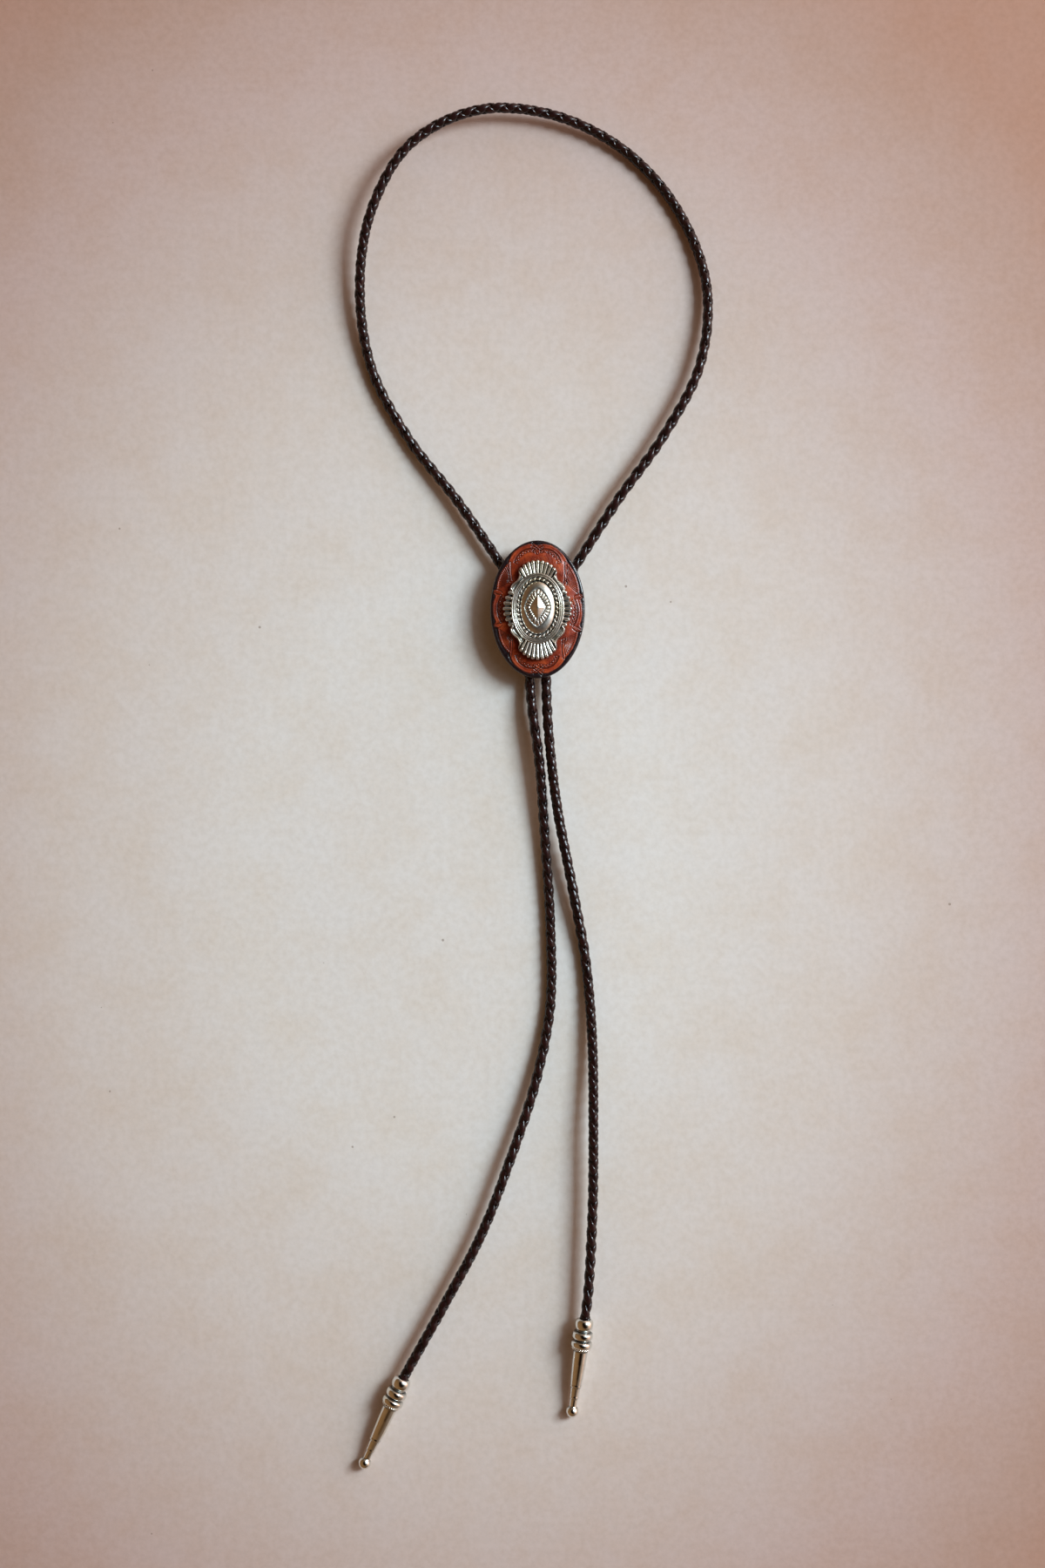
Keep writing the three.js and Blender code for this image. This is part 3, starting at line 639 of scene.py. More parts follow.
def closed_spline(points, per=12):
    P = np.array(points, float)
    n = len(P)
    out = []
    for i in range(n):
        p0, p1, p2, p3 = P[i - 1], P[i], P[(i + 1) % n], P[(i + 2) % n]
        for k in range(per):
            t = k / per
            out.append(
                0.5 * ((2 * p1) + (p2 - p0) * t + (2 * p0 - 5 * p1 + 4 * p2 - p3) * t * t + (3 * p1 - 3 * p2 + p3 - p0) * t**3)
            )
    return np.array(out)


def polygon_distance(px, py, poly):
    """Signed distance to a closed polygon, positive inside."""
    shape = px.shape
    p = np.stack([px.ravel(), py.ravel()], -1)
    best = np.full(len(p), 1e9)
    inside = np.zeros(len(p), bool)
    for i in range(len(poly)):
        a, b = poly[i], poly[(i + 1) % len(poly)]
        ab = b - a
        t = np.clip(((p - a) @ ab) / max(ab @ ab, 1e-12), 0, 1)
        best = np.minimum(best, np.hypot(p[:, 0] - a[0] - t * ab[0], p[:, 1] - a[1] - t * ab[1]))
        cross = (a[1] > p[:, 1]) != (b[1] > p[:, 1])
        with np.errstate(divide="ignore", invalid="ignore"):
            xi = (b[0] - a[0]) * (p[:, 1] - a[1]) / (b[1] - a[1]) + a[0]
        inside ^= cross & (p[:, 0] < xi)
    return np.where(inside, best, -best).reshape(shape)


def capsule(px, py, x0, y0, x1, y1, w0, w1):
    """1 on a tapered capsule's line and 0 at its side; and the share along it."""
    dx, dy = x1 - x0, y1 - y0
    L = math.hypot(dx, dy)
    ux, uy = dx / L, dy / L
    t = np.clip(((px - x0) * ux + (py - y0) * uy) / L, 0, 1)
    d = np.hypot(px - (x0 + t * dx), py - (y0 + t * dy))
    w = w0 + (w1 - w0) * t
    return 1 - d / w, t


def fan_end(deg):
    t = abs(deg) / FAN_SPREAD
    l = FAN_LONG + (FAN_SHORT - FAN_LONG) * t * t
    a = math.radians(deg)
    return l * math.sin(a), FAN_CENTRE_Y + l * math.cos(a)


def base_outline():
    upper = [(x, y) for x, y in reversed(SHOULDER)]
    for i in range(9):
        x, y = fan_end(FAN_SPREAD * (1 - i / 4) * 0.98)
        upper.append((x, y - 0.42))
    upper += [(-x, y) for x, y in SHOULDER]
    side = [(-10.1, 4.6), (-10.9, 2.8), (-11.35, 0.0), (-10.9, -2.8), (-10.1, -4.6)]
    lower = [(-x, -y * LOWER_STRETCH) for x, y in upper]
    other = [(-x, -y) for x, y in side]
    return closed_spline(upper + side + lower + other, 6)


def fan_ribs():
    out = []
    pitch = math.radians(2 * FAN_SPREAD / (FAN_RIBS - 1))
    for i in range(FAN_RIBS):
        deg = FAN_SPREAD * (2 * i / (FAN_RIBS - 1) - 1)
        a = math.radians(deg)
        tx, ty = fan_end(deg)
        rho0 = 6.9
        x0, y0 = rho0 * math.sin(a), FAN_CENTRE_Y + rho0 * math.cos(a)
        w0 = rho0 * pitch * 0.5 * 0.84
        w1 = math.hypot(tx, ty - FAN_CENTRE_Y) * pitch * 0.5 * 0.86
        back = w1 * 0.8
        tx, ty = tx - back * math.sin(a), ty - back * math.cos(a)
        out.append((x0, y0, tx, ty, w0, w1))
        out.append((x0, -y0 * LOWER_STRETCH, tx, -ty * LOWER_STRETCH, w0, w1))
    return out


def side_ribs():
    out = []
    for i in range(SIDE_RIBS):
        j = i - (SIDE_RIBS - 1) / 2
        for side in (1, -1):
            y = 1.62 * j
            x1 = 12.0 - 0.2 * j * j - 0.66
            x0 = 8.4 - 0.12 * j * j
            out.append((side * x0, y, side * x1, y + 0.1 * j * (x1 - x0), 0.64, 0.71))
    return out


def oval_gap(X, Y, rx, ry):
    """Distance outward from an oval, in mm, near enough for narrow bands."""
    q = np.hypot(X / rx, Y / ry)
    g = np.hypot(X / rx**2, Y / ry**2) / np.maximum(q, 1e-6)
    return (q - 1) / np.maximum(g, 1e-6)


def concho_height(X, Y):
    """Height above the concho's back at a point of its plan."""
    Yc = Y - CENTRE_DY
    d_out = polygon_distance(X, Y, base_outline())
    # shoulders: a smooth hollow behind a raised rim along the outline
    rim = 0.62 * np.exp(-(((d_out - 0.50) / 0.33) ** 2))
    hollow = SHOULDER_Z - 0.18 * smoothstep(0.6, 1.7, d_out) + rim - 0.5 * smoothstep(0.18, 0.0, d_out)
    upper = np.abs(Y) / np.where(Y < 0, LOWER_STRETCH, 1.0)
    angle = np.degrees(np.arctan2(np.abs(X), np.maximum(upper - FAN_CENTRE_Y, 1e-3)))
    fan = smoothstep(FAN_SPREAD + 5.6, FAN_SPREAD + 4.0, angle) * (upper > 9.0)
    side = (np.abs(Y) < 5.85) & (np.abs(X) > 6)
    H = np.where(side, FIELD_Z, FIELD_Z * fan + hollow * (1 - fan))
    # a blade stands at each side of a fan
    blade = np.exp(-(((angle - (FAN_SPREAD + 6.6)) / 1.25) ** 2)) * (upper > 9.6) * smoothstep(0.0, 0.3, d_out)
    H = H + 0.50 * blade
    for x0, y0, x1, y1, w0, w1 in fan_ribs():
        c, t = capsule(X, Y, x0, y0, x1, y1, w0, w1)
        round_ = np.sqrt(np.clip(1 - (1 - np.clip(c, 0, 1)) ** 2.6, 0, 1))
        body = FIELD_Z + (0.98 + 0.20 * t) * round_ + 0.10 * np.exp(-(((t - 0.95) / 0.05) ** 2)) * np.clip(2 * c, 0, 1)
        H = np.where(c > 0, np.maximum(H, body), H)
    for x0, y0, x1, y1, w0, w1 in side_ribs():
        c, t = capsule(X, Y, x0, y0, x1, y1, w0, w1)
        body = 0.72 + 1.10 * np.sqrt(np.clip(1 - (1 - np.clip(c, 0, 1)) ** 2.5, 0, 1))
        H = np.where(c > 0, np.maximum(H, body), H)
    # oval ring: three fine beads with cut grooves between them
    d = -oval_gap(X, Y, RING_RX, RING_RY)
    band = 1.52 + 0.12 * smoothstep(0.0, 1.6, d)
    for b in RING_BEADS:
        arc = np.sqrt(np.clip(1 - ((d - b["inset"]) / b["half"]) ** 2, 0, 1))
        band = np.maximum(band, band * (arc <= 0) + (1.55 + (b["top"] - 1.55) * arc) * (arc > 0))
    H = np.where(d > 0, band, H)
    H = np.where((d <= 0) & (d > -0.10), np.maximum(H, 1.50 + d * 4.0), H)
    # rope: slanting twists along an oval, in a deep channel
    dr = oval_gap(X, Yc, ROPE_RX, ROPE_RY)
    H = np.where(dr < 0.62, 1.42, H)
    tt = np.linspace(-math.pi, math.pi, 2001)
    arc = np.r_[0, np.cumsum(np.hypot(np.diff(ROPE_RX * np.cos(tt)), np.diff(ROPE_RY * np.sin(tt))))]
    share = np.interp(np.arctan2(Yc / ROPE_RY, X / ROPE_RX), tt, arc / arc[-1])
    w = (share * ROPE_COUNT + dr * 0.52) % 1.0 - 0.5
    half = 0.47
    cross = np.clip(1 - (dr / half) ** 2, 0, 1)
    twist = np.clip(1 - (np.abs(w) / 0.455) ** 2.2, 0, 1)
    rope = 1.42 + 1.00 * np.sqrt(cross * twist) ** 0.9
    H = np.where(np.abs(dr) < half, np.maximum(1.42, rope), H)
    # dome with its moat
    q = np.hypot(X / DOME_RX, Yc / DOME_RY)
    dome = 1.40 + 2.0 * np.sqrt(np.clip(1 - 0.97 * q**2.1, 0, 1)) ** 0.9
    H = np.where(q <= 1, dome, np.where(dr <= -half, 1.22, H))
    # ridges in a pointed oval round the diamond
    a, b, p = RIDGE_OVAL
    outer = (np.abs(X) / a) ** p + (np.abs(Yc) / b) ** p
    outer = outer ** (1 / p)
    a, b, p = DIAMOND
    dia = ((np.abs(X) / a) ** p + (np.abs(Yc) / b) ** p) ** (1 / p)
    tt = np.linspace(-math.pi, math.pi, 2001)
    arc = np.r_[0, np.cumsum(np.hypot(np.diff(3.4 * np.cos(tt)), np.diff(5.1 * np.sin(tt))))]
    share = np.interp(np.arctan2(Yc / 5.1, X / 3.4), tt, arc / arc[-1])
    w = (share * RIDGE_COUNT + 0.5) % 1.0 - 0.5
    ridge = np.sqrt(np.clip(1 - (np.abs(w) / 0.40) ** 2.2, 0, 1))
    ends = smoothstep(1.0, 0.90, outer) * smoothstep(1.03, 1.12, dia)
    ring = smoothstep(1.05, 0.99, outer) * (dia > 1.0)
    H = H + ring * (-0.24 + 0.46 * ridge * ends)
    # the diamond: a low four-sided pyramid with soft edges
    apex = np.sqrt((1 - np.clip(dia, 0, 1)) ** 2 + 0.004) - 0.063
    H = np.where(dia < 1, 3.10 + 1.50 * apex, H)
    return H


def concho():
    rng = np.random.default_rng(SEED + 1)
    ra = Raster(-13.4, 13.4, -18.6, 18.2, 0.05)
    H = blur(concho_height(ra.X, ra.Y), 0.7)
    near, wide = blur(H, 5.0), blur(H, 13.0)
    cavity = np.clip((near - H) * 5.0 - 0.12, 0, 1)
    cavity = np.maximum(cavity, np.clip((wide - H) * 2.0 - 0.30, 0, 1))
    worn = np.clip((H - near) * 4.0, 0, 1)
    cavity = np.clip(cavity * (1 + 0.25 * noise_field(H.shape, 14, rng)) - 0.3 * worn, 0, 1)
    uneven = 0.010 * noise_field(H.shape, 46, rng) + 0.004 * noise_field(H.shape, 11, rng)
    n_th = 1080
    th = np.arange(n_th) / n_th * 2 * math.pi
    c, s = np.cos(th), np.sin(th)
    # the outline as a radius at each angle: base plate and the ends of the ribs
    rr = np.arange(7.0, 19.0, 0.02)
    PX_, PY_ = rr[None, :] * c[:, None], rr[None, :] * s[:, None]
    inside = polygon_distance(PX_, PY_, base_outline()) > 0
    for rib in fan_ribs() + side_ribs():
        inside |= capsule(PX_, PY_, *rib)[0] > 0
    R_out = rr[inside.shape[1] - 1 - np.argmax(inside[:, ::-1], axis=1)]
    R_out = 0.25 * np.roll(R_out, 1) + 0.5 * R_out + 0.25 * np.roll(R_out, -1)

    def super_r(a, b, p):
        return (np.abs(c / a) ** p + np.abs(s / b) ** p) ** (-1 / p)

    # rows run along the edges of the features: each strip is (outer curve, centre's height, rows)
    dia, ridge = super_r(*DIAMOND), super_r(*RIDGE_OVAL)
    dome = super_r(DOME_RX, DOME_RY, 2)
    rope_in, rope_out = super_r(ROPE_RX - 0.5, ROPE_RY - 0.5, 2), super_r(ROPE_RX + 0.62, ROPE_RY + 0.62, 2)
    ring = super_r(RING_RX, RING_RY, 2)

    def strip(r0, dy0, r1, dy1, n):
        for t in np.linspace(0, 1, n + 1)[1:]:
            yield (r0 * c * (1 - t) + r1 * c * t, (r0 * s + dy0) * (1 - t) + (r1 * s + dy1) * t)

    D = CENTRE_DY
    rows = []
    rows += strip(dia * 0.02, D, dia * 0.99, D, 8)
    rows += strip(dia * 0.99, D, dia * 1.06, D, 1)
    rows += strip(dia * 1.06, D, ridge * 1.03, D, 10)
    rows += strip(ridge * 1.03, D, dome * 0.90, D, 5)
    rows += strip(dome * 0.90, D, dome * 1.001, D, 4)
    rows += strip(dome * 1.001, D, rope_in, D, 2)
    rows += strip(rope_in, D, rope_out, D, 11)
    rows += strip(rope_out, D, ring, 0, 17)
    rows += strip(ring, 0, ring * 1.008, 0, 1)
    rows += strip(ring * 1.008, 0, R_out, 0, 25)
    X = np.array([x for x, y in rows])
    Y = np.array([y for x, y in rows])
    Z = concho_height(X, Y) + ra.read(uneven, X, Y)
    # soften the steps a little along the rows
    Z[:, :] = 0.5 * Z + 0.25 * (np.roll(Z, 1, 1) + np.roll(Z, -1, 1))
    cav = ra.read(cavity, X, Y)
    Z[-1] = np.minimum(Z[-1], 0.80)
    low = lz1 - cz0 + 0.02
    wall = [(1.001, 0.50, 0.6), (1.0, 0.10, 0.8), (0.995, low, 0.9), (0.5, low, 0.9), (0.14, low, 0.9)]
    for k, z, g in wall:
        X = np.vstack([X, (R_out * k * c)[None]])
        Y = np.vstack([Y, (R_out * k * s)[None]])
        Z = np.vstack([Z, np.full((1, n_th), z)])
        cav = np.vstack([cav, np.full((1, n_th), g)])
    V = np.stack([X + SLIDE[0], Y + SLIDE[1], Z + cz0], -1).reshape(-1, 3)
    rows_n = len(X)
    top = [[SLIDE[0], SLIDE[1] + D, cz0 + float(Z[0].max())]]
    bottom = [[SLIDE[0], SLIDE[1], cz0 + low]]
    V = np.vstack([V, top, bottom])
    e = np.arange(n_th)
    f = np.roll(e, -1)
    tri0 = np.c_[np.full(n_th, rows_n * n_th), e, f]
    tri1 = np.c_[np.full(n_th, rows_n * n_th + 1), (rows_n - 1) * n_th + f, (rows_n - 1) * n_th + e]
    patina = np.r_[cav.ravel(), 0.0, 1.0]
    ob = mesh_object("concho_cast", V * MM, grid_quads(rows_n, n_th)[:, ::-1], np.vstack([tri0, tri1]), True, {"patina": patina})
    ob.data.materials.append(MAT_SILVER)
    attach(ob, "root")
    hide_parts("concho")
    return ob


concho()

# ------------------------------------------------------------------ tooled leather
EDGE_ROUND = 0.85


def polyline_distance(X, Y, pts):
    best = np.full(X.shape, 1e9)
    for (ax, ay), (bx, by) in zip(pts[:-1], pts[1:]):
        dx, dy = bx - ax, by - ay
        t = np.clip(((X - ax) * dx + (Y - ay) * dy) / (dx * dx + dy * dy), 0, 1)
        best = np.minimum(best, np.hypot(X - ax - t * dx, Y - ay - t * dy))
    return best


def open_spline(points, per=10):
    P = np.array(points, float)
    A = np.vstack([2 * P[0] - P[1], P, 2 * P[-1] - P[-2]])
    out = []
    for i in range(len(P) - 1):
        p0, p1, p2, p3 = A[i : i + 4]
        for k in range(per):
            t = k / per
            out.append(0.5 * (2 * p1 + (p2 - p0) * t + (2 * p0 - 5 * p1 + 4 * p2 - p3) * t * t + (3 * p1 - 3 * p2 + p3 - p0) * t**3))
    out.append(P[-1])
    return np.array(out)


def around(angle, inset):
    """A point inset mm in from the leather's edge; angle in degrees from +X."""
    a = math.radians(angle)
    c, s = math.cos(a), math.sin(a)
    r = 1 / math.hypot(c / LEATHER_RX, s / LEATHER_RY)
    nx, ny = c * r / LEATHER_RX**2, s * r / LEATHER_RY**2
    n = math.hypot(nx, ny)
    return (c * r - inset * nx / n, s * r - inset * ny / n)


# the carved border is a chain of arches; it turns in at each knot
KNOTS = [
    # where round the oval, how far in the border turns there, what is carved on it
    {"at": 90.0, "inset": 1.9, "mark": "cross"},
    {"at": 57.0, "inset": 1.7, "mark": "line"},
    {"at": 16.3, "inset": 2.1, "mark": "petal"},
    {"at": -25.5, "inset": 2.1, "mark": "petal"},
    {"at": -59.5, "inset": 1.9, "mark": "line"},
    {"at": -90.0, "inset": 1.9, "mark": "cross"},
    {"at": -122.5, "inset": 2.6, "mark": "line"},
    {"at": -159.0, "inset": 2.4, "mark": "petal"},
    {"at": -201.4, "inset": 2.1, "mark": "petal"},
    {"at": -236.7, "inset": 1.8, "mark": "line"},
]
ARCHES = [
    # what fills it, and how near the edge its middle comes; in the knots' order
    {"fill": "seeds", "bulge": 0.95},
    {"fill": "fan", "bulge": 1.35},
    {"fill": "seeds", "bulge": 1.10},
    {"fill": "fan", "bulge": 1.35},
    {"fill": "seeds", "bulge": 1.30},
    {"fill": "seeds", "bulge": 1.25},
    {"fill": "fan", "bulge": 1.75},
    {"fill": "seeds", "bulge": 1.00},
    {"fill": "fan", "bulge": 1.20},
    {"fill": "seeds", "bulge": 0.85},
]
FAN_RAY_PITCH = 8.2     # degrees
FAN_HUB_INSET = 5.5


def leather():
    rx, ry = LEATHER_RX, LEATHER_RY
    ra = Raster(-rx - 0.5, rx + 0.5, -ry - 0.5, ry + 0.5, 0.06)
    X, Y = ra.X, ra.Y
    rng = np.random.default_rng(SEED + 2)
    inset = -oval_gap(X, Y, rx, ry)
    polar = np.degrees(np.arctan2(Y, X))
    fine = np.linspace(-270, 90, 3601)
    n = len(KNOTS)
    border = np.zeros(len(fine))
    lines = []
    for i, arch in enumerate(ARCHES):
        k0, k1 = KNOTS[i], KNOTS[(i + 1) % n]
        a0, a1 = k0["at"], k1["at"] if i < n - 1 else k1["at"] - 360
        span = (fine <= a0) & (fine >= a1)
        t = (a0 - fine) / (a0 - a1)
        cusp = np.where(t < 0.5, k0["inset"], k1["inset"])
        border[span] = (arch["bulge"] + (cusp - arch["bulge"]) * abs(2 * t - 1) ** 2.6)[span]
        lines.append((a0, a1, cusp, arch))
    for k in KNOTS:
        if k["mark"] == "petal":
            for turn in (0, -360):
                border -= 1.45 * np.exp(-(((fine - k["at"] - turn) / 2.9) ** 2))
    border = np.maximum(border, 0.5)
    wrapped = np.where(polar > 90, polar - 360, polar)
    line = np.interp(wrapped, fine, border)
    s = inset - line                     # mm inside the border line
    H = np.zeros(X.shape)
    T = np.zeros(X.shape)
    # outside the border the leather is bevelled away
    H -= 0.34 * smoothstep(0.10, -0.12, s) * (0.55 + 0.45 * smoothstep(-1.2, -0.1, s))
    H += 0.10 * np.exp(-(((s - 0.28) / 0.20) ** 2))
    seeds = []
    strokes = []
    for a0, a1, cusp, arch in lines:
        t = np.linspace(0.0, 1.0, 25)
        ang = a0 + (a1 - a0) * t
        c0, c1 = cusp[np.argmin(abs(fine - a0))], cusp[np.argmin(abs(fine - a1))]
        if arch["fill"] == "seeds":
            def path(extra, sag):
                return [around(a, arch["bulge"] + extra + sag * abs(2 * u - 1) ** 2.2) for a, u in zip(ang, t) if 0.07 < u < 0.93]
            groove = np.array(path(1.45, 1.5))
            d = polyline_distance(X, Y, groove)
            H += -0.26 * np.exp(-((d / 0.19) ** 2)) + 0.06 * np.exp(-(((d - 0.45) / 0.2) ** 2))
            T = np.maximum(T, 0.95 * np.exp(-((d / 0.26) ** 2)))
            row = np.array(path(2.30, 1.7))
            run = np.r_[0, np.cumsum(np.hypot(*np.diff(row, axis=0).T))]
            count = int(run[-1] / 1.12)
            for j in range(count):
                u = (j + 0.5) / count * run[-1]
                seeds.append((np.interp(u, run, row[:, 0]) + rng.normal(0, 0.05), np.interp(u, run, row[:, 1]) + rng.normal(0, 0.05), 0.31))
        else:
            mid = 0.5 * (a0 + a1)
            fx, fy = around(mid, FAN_HUB_INSET)
            ends = [around(a0, 2.0), around(a1, 2.0)]
            e0 = math.degrees(math.atan2(ends[0][1] - fy, ends[0][0] - fx))
            e1 = math.degrees(math.atan2(ends[1][1] - fy, ends[1][0] - fx))
            sweep = (e0 - e1) % 360
            rel = (e0 - np.degrees(np.arctan2(Y - fy, X - fx))) % 360
            rho = np.hypot(X - fx, Y - fy)
            on = smoothstep(3, 6, rel) * smoothstep(sweep - 3, sweep - 6, rel) * (rel < sweep)
            on = on * smoothstep(0.25, 0.45, s) * smoothstep(1.35, 1.6, rho)
            ray = 0.5 + 0.5 * np.cos(2 * math.pi * rel / FAN_RAY_PITCH)
            H += on * (-0.20 + 0.27 * ray**1.4)
            T = np.maximum(T, on * (0.85 - 0.85 * ray) * 0.9)
            for j in range(5):
                b = math.radians(e0 - sweep * (j + 0.5) / 5)
                seeds.append((fx + 1.02 * math.cos(b), fy + 1.02 * math.sin(b), 0.25))
            # the long cuts that close the fan
            for k, far in ((0, ends[0]), (1, ends[1])):
                mark = KNOTS[lines.index((a0, a1, cusp, arch)) + k if lines.index((a0, a1, cusp, arch)) + k < n else 0]["mark"]
                if mark == "line":
                    bend = 0.35 if k == 0 else -0.35
                    midp = ((fx + far[0]) / 2 + bend * 0.6, (fy + far[1]) / 2)
                    strokes.append((open_spline([(fx, fy), midp, far], 6), 0.24, 0.30))
    for k in KNOTS:
        x, y = around(k["at"], 2.6 if k["mark"] == "cross" else 2.3)
        a = math.radians(k["at"])
        nx, ny = math.cos(a), math.sin(a)
        tx, ty = -ny, nx
        if k["mark"] == "cross":
            for sgn, size in ((1, 1.0), (-1, 0.72)):
                p = [(x + size * (sgn * 1.5 * tx + 1.25 * nx), y + size * (sgn * 1.5 * ty + 1.25 * ny)),
                     (x + size * (sgn * 0.45 * tx + 0.25 * nx), y + size * (sgn * 0.45 * ty + 0.25 * ny)),
                     (x - size * (sgn * 0.5 * tx + 0.45 * nx), y - size * (sgn * 0.5 * ty + 0.45 * ny)),
                     (x - size * (sgn * 1.7 * tx + 1.35 * nx), y - size * (sgn * 1.7 * ty + 1.35 * ny))]
                strokes.append((open_spline(p, 5), 0.22, 0.26))
            seeds.append((x + 0.2 * tx - 2.0 * nx, y + 0.2 * ty - 2.0 * ny, 0.36))
            seeds.append((x - 1.75 * tx + 0.2 * nx, y - 1.75 * ty + 0.2 * ny, 0.26))
            seeds.append((x + 1.75 * tx + 0.2 * nx, y + 1.75 * ty + 0.2 * ny, 0.26))
        elif k["mark"] == "petal":
            along = ((X - x) * nx + (Y - y) * ny)
            across = ((X - x) * tx + (Y - y) * ty)
            u = (along + 1.4) / 3.3
            w = 0.62 * np.sqrt(np.clip(4 * u * (1 - u), 0, 1)) ** 1.1
            leaf = np.clip(1 - (across / np.maximum(w, 1e-3)) ** 2, 0, 1) * (w > 0.02)
            H += 0.22 * leaf
            rimd = abs(abs(across) - w - 0.12)
            cut = np.exp(-((rimd / 0.14) ** 2)) * (u > 0) * (u < 0.93)
            H -= 0.20 * cut
            T = np.maximum(T, 0.85 * cut)
            vein = np.exp(-((across / 0.10) ** 2)) * (u > 0.1) * (u < 0.8)
            H -= 0.10 * vein
    for pts, half, high in strokes:
        d = polyline_distance(X, Y, pts)
        H += high * np.sqrt(np.clip(1 - (d / half) ** 2, 0, 1)) * 0.8
        cut = np.exp(-(((d - half - 0.15) / 0.14) ** 2))
        H -= 0.17 * cut
        T = np.maximum(T, 0.85 * cut)
    for x, y, r in seeds:
        d = np.hypot(X - x, Y - y)
        H += 0.24 * np.sqrt(np.clip(1 - (d / r) ** 2, 0, 1))
        cut = np.exp(-(((d - r - 0.11) / 0.12) ** 2))
        H -= 0.15 * cut
        T = np.maximum(T, 0.85 * cut)
    # matted ground inside the tooling, and the hide's own unevenness
    ground = smoothstep(3.4, 4.4, s)
    H += (0.012 + 0.02 * ground) * noise_field(X.shape, 5, rng) + 0.03 * noise_field(X.shape, 22, rng)
    T = np.maximum(T, 0.30 * ground)
    H = blur(H, 0.7)
    T = np.clip(blur(T, 0.7) + 0.10 * noise_field(X.shape, 9, rng) * (T > 0.1), 0, 1)
    dyed = smoothstep(0.12, -0.28, s + 0.10 * noise_field(X.shape, 18, rng))

    n_th = 960
    th = np.arange(n_th) / n_th * 2 * math.pi
    C, Sn = np.cos(th), np.sin(th)
    nx, ny = C / rx, Sn / ry
    nn = np.hypot(nx, ny)
    nx, ny = nx / nn, ny / nn
    thick = lz1 - lz0

    def inset_row(v):
        return rx * C - v * nx, ry * Sn - v * ny

    def crown(v):
        """The face falls away a little toward the edge."""
        return -0.80 * (1 - smoothstep(0.0, 6.5, v))

    P, tool, edge = [], [], []
    for v in np.r_[np.linspace(8.6, 7.0, 3)[:-1], np.linspace(7.0, EDGE_ROUND, 76)]:
        x, y = inset_row(v)
        P.append((x, y, thick - 0.02 + crown(v) + ra.read(H, x, y)))
        tool.append(ra.read(T, x, y))
        edge.append(ra.read(dyed, x, y))
    top_z = float(np.mean(P[-1][2]))
    last = P[-1][2] - top_z
    z_mid = top_z * 0.52
    z_low = -0.28          # the hide rests on the clip's plate
    for i in range(1, 14):
        a = i / 13 * math.pi
        v = EDGE_ROUND * (1 - math.sin(a) ** 0.8)
        up = math.copysign(abs(math.cos(a)) ** 0.75, math.cos(a))
        z = z_mid + (top_z - z_mid) * up if up > 0 else z_mid + (z_mid - z_low) * up
        x, y = inset_row(v)
        P.append((x, y, z + last * max(0.0, up)))
        tool.append(np.zeros(n_th))
        edge.append(np.ones(n_th))
    for v in (4.0, 9.0):
        x, y = inset_row(v)
        P.append((x, y, np.full(n_th, z_low)))
        tool.append(np.full(n_th, 0.55))
        edge.append(np.full(n_th, 0.35))
    for z in (z_low, thick - 0.02):
        P.append((1.9 * C, 1.9 * Sn, np.full(n_th, z)))
        tool.append(np.full(n_th, 0.5))
        edge.append(np.full(n_th, 0.3))
    rows_n = len(P)
    V = np.stack([np.stack(p, -1) for p in P]) + [SLIDE[0], SLIDE[1], lz0]
    j = np.arange(n_th)
    k = (j + 1) % n_th
    close = np.c_[(rows_n - 1) * n_th + j, (rows_n - 1) * n_th + k, k, j]
    ob = mesh_object(
        "tooled_leather_oval", V.reshape(-1, 3) * MM, np.vstack([grid_quads(rows_n, n_th), close]), None, True,
        {"tool": np.concatenate(tool), "edge": np.concatenate(edge)},
    )
    ob.data.materials.append(MAT_LEATHER)
    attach(ob, "root")
    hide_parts("leather_backing")
    return ob


leather()

# ------------------------------------------------------------------ clip (the CAD solid itself)
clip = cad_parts["cord_clip"]
clip.data.materials.clear()
clip.data.materials.append(MAT_CLIP)

# ------------------------------------------------------------------ floor, light
floor_mat, nt, b = new_material("paper_floor")
fibre = noise(nt, 420.0, 6.0, 0.6)
patches = noise(nt, 34.0, 8.0, 0.72)
place = nt.nodes.new("ShaderNodeTexCoord")
off = nt.nodes.new("ShaderNodeVectorMath")
off.operation = "SUBTRACT"
nt.links.new(place.outputs["Object"], off.inputs[0])
off.inputs[1].default_value = (-30 * MM, -84 * MM, 0)
oval = nt.nodes.new("ShaderNodeVectorMath")
oval.operation = "MULTIPLY"
nt.links.new(off.outputs["Vector"], oval.inputs[0])
oval.inputs[1].default_value = (1 / (460 * MM), 1 / (600 * MM), 0)
out = nt.nodes.new("ShaderNodeVectorMath")
out.operation = "LENGTH"
nt.links.new(oval.outputs["Vector"], out.inputs[0])
# painted shade: the paper is painted darker and warmer away from the middle, standing in for light falling off toward
# the edges
paper = ramp(nt, out.outputs["Value"], [
    (0.16, (0.755, 0.715, 0.685)), (0.30, (0.685, 0.605, 0.565)), (0.395, (0.610, 0.497, 0.458)),
    (0.48, (0.548, 0.400, 0.362)), (0.56, (0.478, 0.312, 0.258)), (0.62, (0.452, 0.256, 0.192)), (0.73, (0.430, 0.230, 0.165)),
    (0.88, (0.56, 0.42, 0.37)), (1.0, (0.64, 0.54, 0.50)),
])
stain = ramp(nt, patches, [(0.36, (0.975, 0.925, 0.865)), (0.56, (1.0, 0.985, 0.965)), (0.72, (1.0, 1.0, 1.0))])
paper = mix_color(nt, 1.0, paper, stain, "MULTIPLY")
speck = nt.nodes.new("ShaderNodeTexVoronoi")
speck.inputs["Scale"].default_value = 62.0
nt.links.new(place.outputs["Object"], speck.inputs["Vector"])
chance = nt.nodes.new("ShaderNodeSeparateColor")
nt.links.new(speck.outputs["Color"], chance.inputs[0])
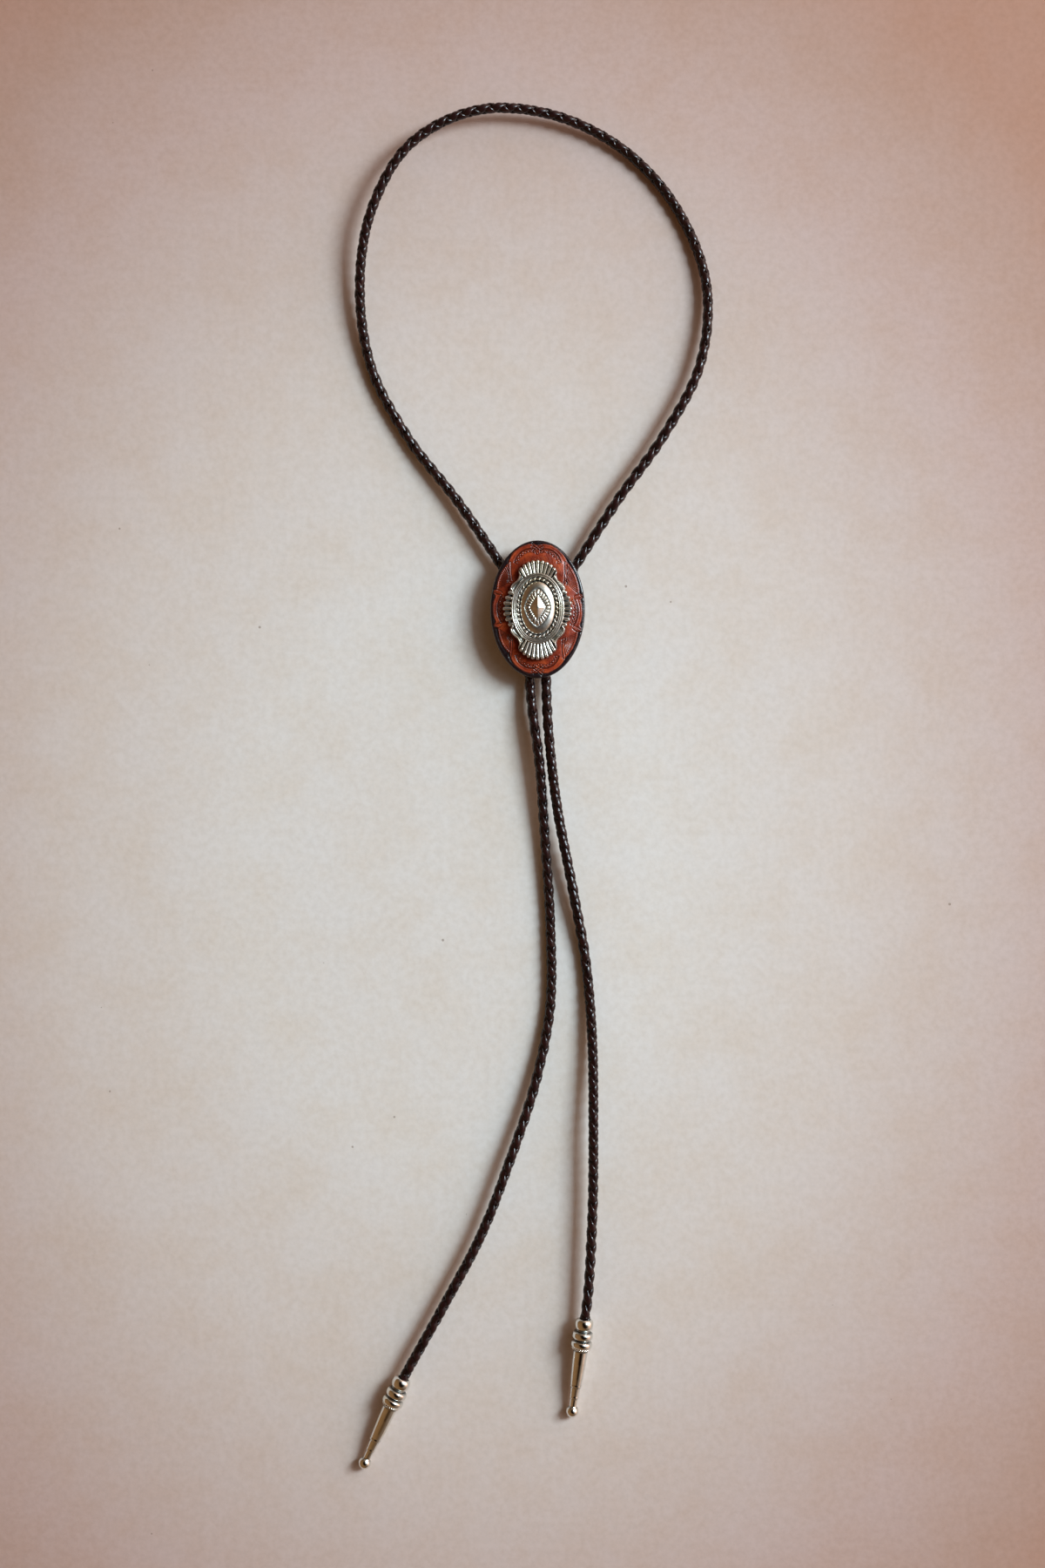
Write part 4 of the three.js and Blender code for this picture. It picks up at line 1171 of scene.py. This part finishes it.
size = math_node(nt, "MULTIPLY", chance.outputs[0], 0.030)
fleck = math_node(nt, "LESS_THAN", speck.outputs["Distance"], size)
paper = mix_color(nt, math_node(nt, "MULTIPLY", fleck, 0.55), paper, (0.20, 0.13, 0.09))
mottle = ramp(nt, fibre, [(0.33, (0.93, 0.92, 0.905)), (0.62, (1, 1, 1))])
paper = mix_color(nt, 1.0, paper, mottle, "MULTIPLY")
nt.links.new(paper, b.inputs["Base Color"])
b.inputs["Roughness"].default_value = 0.9
b.inputs["Specular IOR Level"].default_value = 0.15
bump(nt, b, fibre, 0.22, 0.0002)
g = np.linspace(-8.0, 8.0, 2)
gx, gy = np.meshgrid(g, g)
floor = mesh_object("floor", np.stack([gx, gy, np.full_like(gx, -0.0002)], -1).reshape(-1, 3), grid_quads(2, 2, False))
floor.data.materials.append(floor_mat)


def area(name, toward, far, size, power, color, aim):
    """A soft box: toward is the direction it stands in, seen from the aim point."""
    where = Vector(aim) + Vector(toward).normalized() * far
    data = bpy.data.lights.new(name, "AREA")
    data.shape = "RECTANGLE"
    data.size, data.size_y = size
    data.energy = power
    data.color = color
    ob = bpy.data.objects.new(name, data)
    ob.location = where
    ob.rotation_euler = (Vector(aim) - where).to_track_quat("-Z", "Y").to_euler()
    bpy.context.scene.collection.objects.link(ob)
    return ob


KEY_DIR = (0.92, 0.40, 0.84)
aim = (CENTRE[0] * MM, CENTRE[1] * MM, 0)
area("key", KEY_DIR, 1.9, (0.55, 0.75), KEY_POWER, (0.71, 0.895, 1.0), aim)

# the room: dark overhead, a bright window side, a dim warm side
world = bpy.data.worlds.new("studio")
bpy.context.scene.world = world
world.use_nodes = True
wt = world.node_tree
bg = wt.nodes["Background"]
co = wt.nodes.new("ShaderNodeTexCoord").outputs["Generated"]


def toward(direction):
    n = wt.nodes.new("ShaderNodeVectorMath")
    n.operation = "DOT_PRODUCT"
    wt.links.new(co, n.inputs[0])
    n.inputs[1].default_value = Vector(direction).normalized()
    return n.outputs["Value"]


side = ramp(wt, math_node(wt, "MULTIPLY_ADD", toward((0.92, 0.40, 0)), 0.5, 0.5), ROOM_SIDES)
lid = ramp(wt, toward((0.24, 0.08, 1)), ROOM_LID)
glow = ramp(wt, toward(KEY_DIR), [(0.80, (0, 0, 0)), (0.97, (1.0, 1.08, 1.12))])
room = mix_color(wt, 1.0, side, lid, "MULTIPLY")
room = mix_color(wt, 1.0, room, glow, "ADD")
wt.links.new(room, bg.inputs["Color"])
bg.inputs["Strength"].default_value = ROOM_STRENGTH

bpy.context.scene.view_settings.view_transform = "Standard"
bpy.context.scene.view_settings.look = "None"
